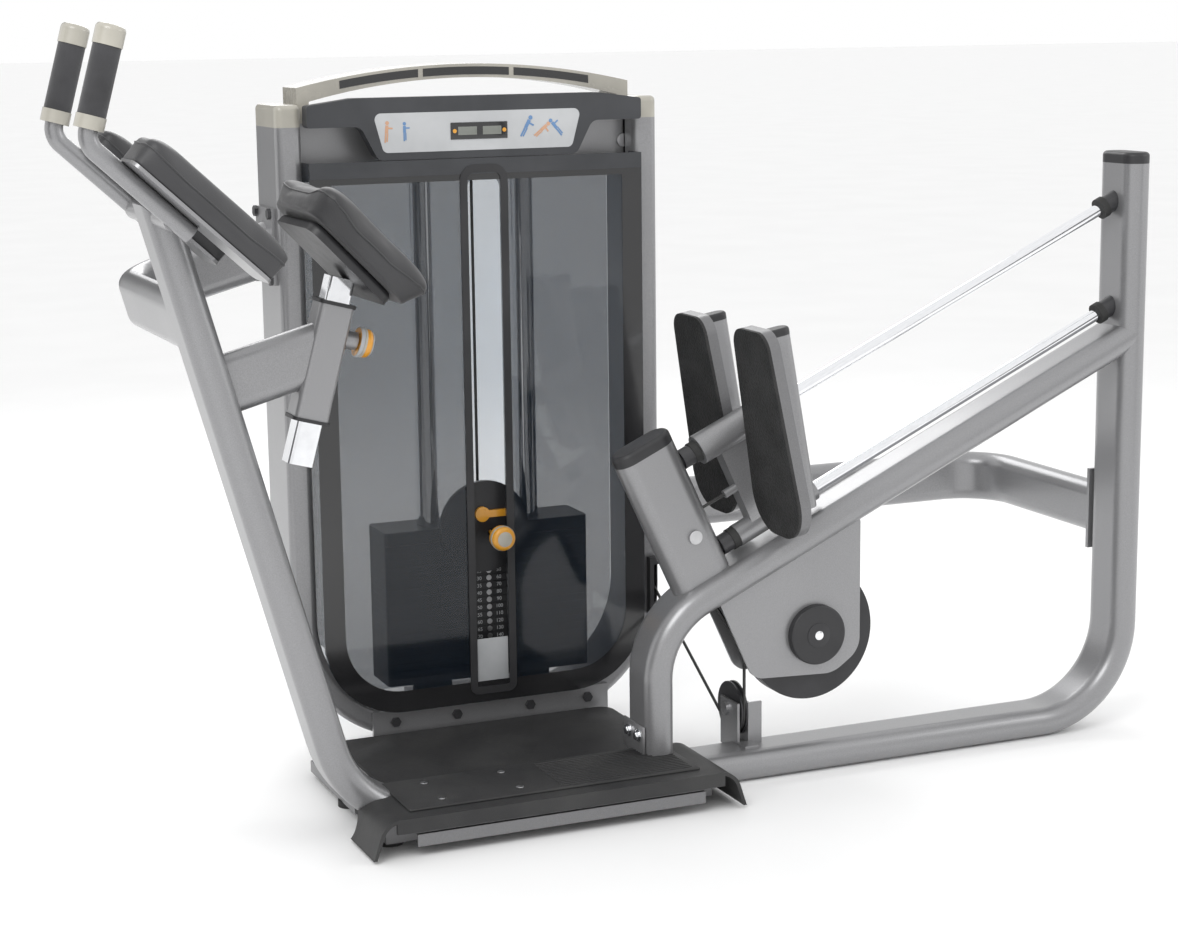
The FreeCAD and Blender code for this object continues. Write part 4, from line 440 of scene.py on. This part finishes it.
def pad_axes(slope):
    """Directions of a pad that slopes down along +X: along, across and out of its face."""
    angle = math.radians(slope)
    along = Vector((math.cos(angle), 0, -math.sin(angle)))
    out = Vector((math.sin(angle), 0, math.cos(angle)))
    return Matrix((along, Vector((0, 1, 0)), out))


def local_shape(name, to_local, shrink, taper):
    """A welded copy of the CAD pad in its own axes, a little smaller and narrower towards its back."""
    bm = bmesh.new()
    bm.from_mesh(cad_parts[name].data)
    bmesh.ops.remove_doubles(bm, verts=bm.verts, dist=1e-5)
    bmesh.ops.transform(bm, matrix=to_local.to_4x4(), verts=bm.verts)
    low = Vector([min(v.co[i] for v in bm.verts) for i in range(3)])
    high = Vector([max(v.co[i] for v in bm.verts) for i in range(3)])
    centre, half = (low + high) / 2, (high - low) / 2
    for vert in bm.verts:
        offset = vert.co - centre
        below = max(0.0, (half.z * TAPER_START - offset.z) / (half.z * (1 + TAPER_START)))
        inset = shrink + taper * below
        vert.co.x = centre.x + offset.x * (1 - inset / half.x)
        vert.co.y = centre.y + offset.y * (1 - inset / half.y)
        vert.co.z = low.z + (vert.co.z - low.z) * (1 - shrink / half.z)
    return bm, centre, half


def remeshed(bm, name):
    """The shape as an object with an even mesh."""
    mesh = bpy.data.meshes.new(name)
    bm.to_mesh(mesh)
    bm.free()
    made = bpy.data.objects.new(name, mesh)
    bpy.context.scene.collection.objects.link(made)
    remesh = made.modifiers.new("even", "REMESH")
    remesh.mode, remesh.voxel_size = "VOXEL", VOXEL
    settle(made)
    return made


def settle(made):
    """Applies every modifier of an object to its mesh."""
    shape = made.evaluated_get(bpy.context.evaluated_depsgraph_get())
    result = bpy.data.meshes.new_from_object(shape)
    made.modifiers.clear()
    made.data = result


def swell(made, low_z, cap):
    """Inflates the pad with a cloth simulation, its flat back pinned, and caps how far points move."""
    before = [v.co.copy() for v in made.data.vertices]
    group = made.vertex_groups.new(name="back")
    group.add([v.index for v in made.data.vertices if v.co.z < low_z + PINNED_DEPTH], 1.0, "REPLACE")
    cloth = made.modifiers.new("cloth", "CLOTH")
    cloth.settings.use_pressure = True
    cloth.settings.uniform_pressure_force = PRESSURE
    cloth.settings.effector_weights.gravity = 0.0
    cloth.settings.vertex_group_mass = "back"
    cloth.settings.quality = CLOTH_QUALITY
    cloth.point_cache.frame_end = FRAMES
    for step in range(1, FRAMES + 1):
        bpy.context.scene.frame_set(step)
    settle(made)
    bpy.context.scene.frame_set(1)
    for vert, start in zip(made.data.vertices, before):
        move = vert.co - start
        if move.length > cap:
            vert.co = start + move.normalized() * cap


def relax(made, low_z, passes):
    """Eases out small creases, but leaves the pinned back where it is."""
    bm = bmesh.new()
    bm.from_mesh(made.data)
    loose = [v for v in bm.verts if v.co.z > low_z + PINNED_DEPTH]
    for _ in range(passes):
        bmesh.ops.smooth_vert(bm, verts=loose, factor=0.5,
                              use_axis_x=True, use_axis_y=True, use_axis_z=True)
    bm.to_mesh(made.data)
    bm.free()


def welt_points(half, corner, count):
    """Even points round a rounded rectangle in the pad's plane."""
    points = []
    for sx, sy, first in ((1, 1, 0), (-1, 1, 90), (-1, -1, 180), (1, -1, 270)):
        for step in range(count):
            angle = math.radians(first + 90.0 * step / (count - 1))
            centre = Vector((sx * (half.x - corner), sy * (half.y - corner), 0))
            points.append(centre + Vector((math.cos(angle), math.sin(angle), 0)) * corner)
    return points


def welt(name, pad, centre, half, height, corner, to_world, body):
    """A thin sewn welt: a closed tube that follows the pad's side at one height."""
    curve = bpy.data.curves.new(name, "CURVE")
    curve.dimensions, curve.bevel_depth, curve.bevel_resolution = "3D", WELT_RADIUS, 3
    spline = curve.splines.new("NURBS")
    loop = welt_points(half * WELT_REACH, corner, CORNER_POINTS)
    dense = []
    for first, second in zip(loop, loop[1:] + loop[:1]):
        parts = max(1, round((second - first).length / WELT_STEP))
        dense += [first.lerp(second, i / parts) for i in range(parts)]
    spline.points.add(len(dense) - 1)
    for point, spot in zip(spline.points, dense):
        start = Vector((centre.x + spot.x, centre.y + spot.y, height))
        _, place, normal, _ = pad.closest_point_on_mesh(start)
        point.co = (*(place + normal * WELT_STANDOFF), 1.0)
    spline.use_cyclic_u, spline.order_u = True, 3
    holder = bpy.data.objects.new(name, curve)
    mesh = bpy.data.meshes.new_from_object(holder)
    bpy.data.objects.remove(holder)
    bm = bmesh.new()
    bm.from_mesh(mesh)
    bmesh.ops.transform(bm, matrix=to_world, verts=bm.verts)
    return piece(name, bm, vinyl, body)


def cushion(node, slope, body, cap, corner, taper):
    """The padded piece that stands for one CAD pad, with its welt."""
    to_local = pad_axes(slope)
    to_world = to_local.transposed().to_4x4()
    shape, centre, half = local_shape(node, to_local, PAD_SHRINK, taper)
    low_z, high_z = centre.z - half.z, centre.z + half.z
    made = remeshed(shape, node + "_cushion")
    swell(made, low_z, cap)
    relax(made, low_z, RELAX_PASSES)
    ceiling = high_z + CROWN_ROOM
    for vert in made.data.vertices:
        vert.co.z = min(max(vert.co.z, low_z), ceiling)
    seam = low_z + half.z * WELT_LEVEL
    welt(node + "_welt", made, centre, half, seam, corner, to_world, body)
    made.data.transform(to_world)
    made.data.materials.clear()
    made.data.materials.append(vinyl)
    made.data.shade_smooth()
    smooth = made.modifiers.new("smooth", "SUBSURF")
    smooth.levels = smooth.render_levels = 1
    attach(made, body)
    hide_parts(node)
    print(made.name, "points", len(made.data.vertices))


cushion("chest_pad", 46.0, "chest", 0.010, 0.040, 0.020)
cushion("arm_pad_left", 43.0, "frame", 0.009, 0.022, 0.002)
cushion("arm_pad_right", 43.0, "frame", 0.009, 0.022, 0.002)

# %% [markdown]
# The tower front is a smoked sheet with a black border, a dark frame round the selector slot and a band
# along its top. All three are thin and lie just in front of the sheet.

# %% Tower trims
shroud_low, shroud_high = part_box("front_shroud")
stack_low, stack_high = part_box("resting_plates")
stack_x = (stack_low.x + stack_high.x) / 2
sheet_y = shroud_low.y
sheet_left, sheet_right = shroud_low.x + MM, shroud_high.x - MM
BORDER_WIDTH, BORDER_THICK, BORDER_CORNER = 42 * MM, 0.8 * MM, 158 * MM
SLOT_HALF, TRIM, TRIM_THICK = 34 * MM, 15 * MM, 3.0 * MM
TRIM_CORNER_LOW, TRIM_CORNER_HIGH = 18 * MM, 30 * MM
BAND_HEIGHT, BAND_THICK = 30 * MM, 1.0 * MM
bm = bmesh.new()
front_ring(bm, sheet_left, sheet_right, shroud_low.z + MM, shroud_high.z, sheet_y - 0.2 * MM,
           BORDER_WIDTH, BORDER_THICK, BORDER_CORNER, 0)
piece("shroud_border", bm, glossy_black)
disc_low, disc_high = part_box("add_on_disc")
slot_x = (disc_low.x + disc_high.x) / 2
bm = bmesh.new()
front_ring(bm, slot_x - SLOT_HALF - TRIM, slot_x + SLOT_HALF + TRIM, stack_low.z - 20 * MM,
           shroud_high.z - 12 * MM, sheet_y - 0.4 * MM, TRIM, TRIM_THICK, TRIM_CORNER_LOW, TRIM_CORNER_HIGH)
piece("slot_trim", bm, black_plastic)
bm = bmesh.new()
front_ring(bm, sheet_left, sheet_right, shroud_high.z - BAND_HEIGHT, shroud_high.z, sheet_y - 1.2 * MM,
           0, BAND_THICK, 0, 0)
piece("shroud_top_band", bm, hood_plastic)

# %% [markdown]
# The weight stack carries a strip of labels down its front: plain numbers in two columns beside the pin
# holes. Under it, a grey plate closes the slot.

# %% Stack labels
PLATE_COUNT = 19
LABEL_INNER, LABEL_OUTER, LABEL_MIDDLE = 6 * MM, 35 * MM, 21 * MM
LABEL_FRONT, LABEL_BACK = 0.9 * MM, 0.1 * MM
LABEL_BELOW, LABEL_ABOVE = 1.2 * MM, 1.6 * MM
NUMBER_SIZE, HOLE_RIM, RIM_THICK = 10.5 * MM, 5.5 * MM, 0.6 * MM
COVER_HALF, COVER_TOP = 33 * MM, 92 * MM
pitch = (stack_high.z - stack_low.z) / PLATE_COUNT
stack_front = stack_low.y
bm = bmesh.new()
for index in range(PLATE_COUNT):
    base = stack_low.z + index * pitch
    for left, right_side in ((-LABEL_OUTER, -LABEL_INNER), (LABEL_INNER, LABEL_OUTER)):
        soft_block(bm, (stack_x + left, stack_front - LABEL_FRONT, base + LABEL_BELOW),
                   (stack_x + right_side, stack_front - LABEL_BACK, base + pitch - LABEL_ABOVE), 0.2 * MM, 1)
piece("stack_labels", bm, black_plastic)
for side, unit in ((-1, 5), (1, 10)):
    rows = [(str((PLATE_COUNT - index) * unit), stack_low.z + (index + 0.5) * pitch)
            for index in range(PLATE_COUNT)]
    numbers("stack_numbers_" + ("left" if side < 0 else "right"), rows,
            stack_x + side * LABEL_MIDDLE, stack_front - 1.0 * MM, NUMBER_SIZE, white_print)
bm = bmesh.new()
for index in range(PLATE_COUNT):
    hole_z = stack_low.z + (index + 0.5) * pitch
    disc(bm, (stack_x, stack_front, hole_z), (0, -1, 0), HOLE_RIM, RIM_THICK, 0, 20)
piece("pin_hole_rims", bm, steel)
bm = bmesh.new()
soft_block(bm, (slot_x - COVER_HALF, sheet_y + 1 * MM, stack_low.z - 4 * MM),
           (slot_x + COVER_HALF, sheet_y + 4 * MM, stack_low.z + COVER_TOP), 1.0 * MM)
piece("slot_cover", bm, grey_print)

# %% [markdown]
# The selector pin's knob is amber with a pale band and centre. The chest pad's pull knob is built up in
# layers along its axis: a grey plate behind, a pale ring, and a grey cap on its face.

# %% Knobs
pin_low, pin_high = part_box("selector_pin")
pin_centre = (pin_low + pin_high) / 2
PIN_BAND, PIN_CENTRE = 25.2 * MM, 15 * MM
bm = bmesh.new()
disc(bm, (pin_centre.x, pin_low.y + 9 * MM, pin_centre.z), (0, 1, 0), PIN_BAND, 7 * MM, 1.5 * MM, 56)
disc(bm, (pin_centre.x, pin_low.y + 0.3 * MM, pin_centre.z), (0, -1, 0), PIN_CENTRE, 1.2 * MM, 0.5 * MM, 48)
piece("pin_knob_band", bm, cream, "pin")
knob_low, knob_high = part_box("pull_knob")
knob_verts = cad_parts["pull_knob"].data.vertices
LEAN = math.radians(15.3)
KNOB_PLATE, KNOB_RING, KNOB_CAP = 27.0 * MM, 26.0 * MM, 21 * MM
knob_axis = Vector((math.cos(LEAN), 0, -math.sin(LEAN)))
knob_centre = (knob_low + knob_high) / 2
knob_reach = max(knob_axis.dot(v.co) for v in knob_verts)
knob_face = Vector((0, knob_centre.y, 0)) + knob_axis * knob_reach
side_axis = Vector((math.sin(LEAN), 0, math.cos(LEAN)))
knob_face += side_axis * (sum(side_axis.dot(v.co) for v in knob_verts) / len(knob_verts))
bm = bmesh.new()
disc(bm, knob_face - knob_axis * 24 * MM, knob_axis, KNOB_PLATE, 7 * MM, 1.6 * MM, 56)
disc(bm, knob_face - knob_axis * 0.6 * MM, knob_axis, KNOB_CAP, 2.4 * MM, 1.0 * MM, 56)
piece("pull_knob_plate", bm, grey_print, "knob")
bm = bmesh.new()
disc(bm, knob_face - knob_axis * 17 * MM, knob_axis, KNOB_RING, 5 * MM, 1.2 * MM, 56)
piece("pull_knob_ring", bm, cream, "knob")

# %% [markdown]
# The tread has a raised insert with four flat screws on its left half and fine ribs on its right. The ribs
# are bars in rows, made as geometry so that the light catches their edges.

# %% Platform insert
plat_low, plat_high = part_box("front_platform")
top = plat_high.z
mid_x = (plat_low.x + plat_high.x) / 2
INSERT_SIDE, INSERT_FRONT, INSERT_BACK, INSERT_RISE = 78 * MM, 34 * MM, 8 * MM, 4.5 * MM
RIBS, RIB_SHARE, RIB_RISE = 16, 0.45, 6 * MM
SCREW_RADIUS, SCREW_HEIGHT = 7 * MM, 1.8 * MM
bm = bmesh.new()
soft_block(bm, (plat_low.x + INSERT_SIDE, plat_low.y + INSERT_FRONT, top - 1 * MM),
           (plat_high.x - INSERT_SIDE, plat_high.y - INSERT_BACK, top + INSERT_RISE), 2.5 * MM, 3)
rib_step = (plat_high.y - plat_low.y - 62 * MM) / RIBS
for row in range(RIBS):
    y = plat_low.y + 44 * MM + row * rib_step
    soft_block(bm, (mid_x + 10 * MM, y, top + 3 * MM),
               (plat_high.x - 90 * MM, y + rib_step * RIB_SHARE, top + RIB_RISE), 0.7 * MM, 1)
piece("tread_insert", bm, tread_rubber)
bm = bmesh.new()
for x in (plat_low.x + 150 * MM, mid_x - 60 * MM):
    for y in (plat_low.y + 70 * MM, plat_high.y - 40 * MM):
        disc(bm, (x, y, top + 4.2 * MM), (0, 0, 1), SCREW_RADIUS, SCREW_HEIGHT, 0.6 * MM, 28)
piece("tread_screws", bm, steel)

# %% [markdown]
# The instruction plate keeps its layout but not its words: a dark display window with two read-outs, and
# plain shapes where the pictures would be.

# %% Placard
sign_low, sign_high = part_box("placard")
sign_x = (sign_low.x + sign_high.x) / 2
sign_z = (sign_low.z + sign_high.z) / 2
face_y = sign_low.y
WINDOW_HALF_WIDTH, WINDOW_HALF_HEIGHT = 58 * MM, 16 * MM
DIGITS_HALF_WIDTH, DIGITS_HALF_HEIGHT = 19 * MM, 8 * MM
BUTTON_RADIUS, HEAD_RADIUS, HEAD_LEVEL = 4 * MM, 4.2 * MM, 21 * MM
FIGURE_BARS = ((-3.5, 3.5, 0, 16), (-3, 0.5, -20, 0), (1.5, 4.5, -18, 0), (3.5, 13, 9, 12.5))
bm = bmesh.new()
soft_block(bm, (sign_x - WINDOW_HALF_WIDTH, face_y - 1.6 * MM, sign_z - WINDOW_HALF_HEIGHT),
           (sign_x + WINDOW_HALF_WIDTH, face_y + 0.4 * MM, sign_z + WINDOW_HALF_HEIGHT), 1.0 * MM)
piece("display_window", bm, glossy_black)
bm = bmesh.new()
for offset in (-24 * MM, 26 * MM):
    middle = sign_x + offset
    soft_block(bm, (middle - DIGITS_HALF_WIDTH, face_y - 2.2 * MM, sign_z - DIGITS_HALF_HEIGHT),
               (middle + DIGITS_HALF_WIDTH, face_y - 1.2 * MM, sign_z + DIGITS_HALF_HEIGHT), 0.5 * MM)
piece("display_digits_back", bm, display_face)
bm = bmesh.new()
for x in (sign_x - 50 * MM, sign_x + 51 * MM):
    disc(bm, (x, face_y - 1.4 * MM, sign_z), (0, -1, 0), BUTTON_RADIUS, 1.2 * MM, 0.4 * MM, 24)
piece("display_buttons", bm, orange)


def figure(joined, x, z, scale, lean):
    """Adds a plain pictogram of a person in small rounded bars: head, trunk and limbs."""
    bm = bmesh.new()
    disc(bm, (0, 0, HEAD_LEVEL), (0, -1, 0), HEAD_RADIUS, 0.5 * MM, 0, 20)
    for left, right_side, bottom, upper in FIGURE_BARS:
        soft_block(bm, (left * MM, -0.6 * MM, bottom * MM),
                   (right_side * MM, -0.1 * MM, upper * MM), 0.2 * MM, 1)
    flat = bpy.data.meshes.new("figure")
    bm.to_mesh(flat)
    bm.free()
    size = Matrix.Diagonal((scale, 1.0, scale, 1.0))
    flat.transform(Matrix.Translation((x, face_y, z)) @ Matrix.Rotation(lean, 4, "Y") @ size)
    joined.from_mesh(flat)
    bpy.data.meshes.remove(flat)


for name, material, spots in (
        ("pictogram_blue", blue_print, ((-150, 0, 0.8, 0.0), (96, 3, 1.0, 0.5), (160, 0, 0.9, -0.7))),
        ("pictogram_tan", skin_print, ((-186, 0, 0.9, 0.1), (128, -3, 0.9, 0.9)))):
    bm = bmesh.new()
    for x, z, scale, lean in spots:
        figure(bm, sign_x + x * MM, sign_z + z * MM, scale, lean)
    piece(name, bm, material)

# %% [markdown]
# The arch over the tower has dark glossy inlays on its front. They follow the arch's own curve, so each is
# a flat strip that is cut into steps and lifted onto the arc.

# %% Arch inlays
arch_low, arch_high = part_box("top_arch")
arch_middle = (arch_low.x + arch_high.x) / 2
ARCH_RISE = 39 * MM
INLAY_LOW, INLAY_HIGH, INLAY_STEPS = -20.5 * MM, -5.5 * MM, 14
INLAY_SPANS = ((-255, -98), (-88, 88), (98, 255))
half_span = (arch_high.x - arch_low.x) / 2
arch_radius = (half_span ** 2 + ARCH_RISE ** 2) / (2 * ARCH_RISE)


def arch_height(x):
    """Height of the arch's upper edge at x."""
    return arch_high.z - arch_radius + math.sqrt(arch_radius ** 2 - (x - arch_middle) ** 2)


bm = bmesh.new()
for start, end in INLAY_SPANS:
    before = len(bm.verts)
    soft_block(bm, (arch_middle + start * MM, arch_low.y - 0.8 * MM, INLAY_LOW),
               (arch_middle + end * MM, arch_low.y + 0.5 * MM, INLAY_HIGH), 0)
    long_edges = [e for e in bm.edges if abs(e.verts[0].co.x - e.verts[1].co.x) > 0.05]
    bmesh.ops.subdivide_edges(bm, edges=long_edges, cuts=INLAY_STEPS, use_grid_fill=True)
    bm.verts.ensure_lookup_table()
    for vert in bm.verts[before:]:
        vert.co.z += arch_height(vert.co.x)
piece("arch_inlays", bm, glossy_black)

# %% [markdown]
# Small fasteners finish the frame: a screw and washer on the wheel's hub, and a flange with two bolts at
# the leg's foot.

# %% Fasteners
guard_low, guard_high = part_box("drive_guards")
cam_low, cam_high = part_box("cam_wheel")
cam_centre = (cam_low + cam_high) / 2
hub = (cam_centre.x, guard_low.y, cam_centre.z)
FLANGE_LOW, FLANGE_HIGH, BOLT_LEVEL = 74 * MM, 132 * MM, 112 * MM
bm = bmesh.new()
disc(bm, hub, (0, -1, 0), 9 * MM, 2.5 * MM, 0.8 * MM, 32)
piece("hub_screw", bm, chrome)
bm = bmesh.new()
disc(bm, hub, (0, -1, 0), 24 * MM, 0.9 * MM, 0.4 * MM, 48)
piece("hub_washer", bm, pulley_black)
rail_low, rail_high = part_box("incline_rail")
leg_left = rail_low.x
bm = bmesh.new()
soft_block(bm, (leg_left - 5 * MM, rail_low.y + 20 * MM, FLANGE_LOW),
           (leg_left - 0.5 * MM, rail_high.y - 4 * MM, FLANGE_HIGH), 1.5 * MM)
piece("leg_flange", bm, silver)
bm = bmesh.new()
for y in (rail_low.y + 40 * MM, rail_low.y + 82 * MM):
    disc(bm, (leg_left - 5 * MM, y, BOLT_LEVEL), (-1, 0, 0), 12 * MM, 2 * MM, 0.6 * MM, 32)
    disc(bm, (leg_left - 7 * MM, y, BOLT_LEVEL), (-1, 0, 0), 9 * MM, 7 * MM, 1.5 * MM, 6)
piece("leg_bolts", bm, chrome)

# %% [markdown]
# Soft studio light: a pale floor and a bright surround, a key light above left, a weaker fill at the right
# and a rim light behind. Dark cards out of shot give the bright metal something to mirror.

# %% Floor and lights
FLOOR_HALF = 90.0
floor_bm = bmesh.new()
bmesh.ops.create_grid(floor_bm, x_segments=1, y_segments=1, size=FLOOR_HALF)
floor_mesh = bpy.data.meshes.new("floor")
floor_bm.to_mesh(floor_mesh)
floor_bm.free()
floor_look = Finish("studio_floor", rough=0.6)
floor_look.colours(floor_look.noise(2.0), (0.92, 0.92, 0.92), (0.94, 0.94, 0.94))
floor_mesh.materials.append(floor_look.material)
floor = bpy.data.objects.new("floor", floor_mesh)
bpy.context.scene.collection.objects.link(floor)
world = bpy.data.worlds.new("studio")
bpy.context.scene.world = world
world.use_nodes = True
surround = world.node_tree.nodes["Background"]
surround.inputs["Color"].default_value = (1.0, 1.0, 1.0, 1.0)
surround.inputs["Strength"].default_value = 1.0


def area_light(name, place, target, size, power):
    """A square soft light that points at a target."""
    data = bpy.data.lights.new(name, "AREA")
    data.shape, data.size, data.energy = "SQUARE", size, power
    lamp = bpy.data.objects.new(name, data)
    lamp.location = place
    lamp.rotation_euler = (Vector(target) - Vector(place)).to_track_quat("-Z", "Y").to_euler()
    bpy.context.scene.collection.objects.link(lamp)


def flag(name, centre, width, height, turn):
    """A dark card out of shot that gives chrome and tubes something dark to mirror."""
    bm = bmesh.new()
    bmesh.ops.create_grid(bm, x_segments=1, y_segments=1, size=0.5)
    upright = Matrix.Rotation(turn, 4, "Z") @ Matrix.Rotation(math.radians(90), 4, "X")
    place = Matrix.Translation(centre) @ upright @ Matrix.Diagonal((width, height, 1.0, 1.0))
    bmesh.ops.transform(bm, matrix=place, verts=bm.verts)
    mesh = bpy.data.meshes.new(name)
    bm.to_mesh(mesh)
    bm.free()
    mesh.materials.append(glossy_black)
    card = bpy.data.objects.new(name, mesh)
    card.visible_camera = card.visible_shadow = card.visible_diffuse = False
    bpy.context.scene.collection.objects.link(card)


flag("flag_left", (-3.6, -0.8, 1.6), 1.6, 3.6, math.radians(80))
flag("flag_right", (2.8, -3.4, 1.4), 1.3, 3.2, math.radians(-35))
flag("flag_back", (-1.0, 3.6, 2.2), 1.4, 3.0, math.radians(15))
area_light("key", (-2.6, -2.6, 3.6), (0.0, 0.0, 0.6), 2.2, 70.0)
area_light("fill", (3.4, -2.0, 2.2), (0.2, 0.0, 0.5), 1.6, 20.0)
area_light("rim", (0.5, 3.2, 3.0), (0.0, 0.3, 0.8), 2.0, 40.0)
bpy.context.scene.view_settings.view_transform = "Standard"
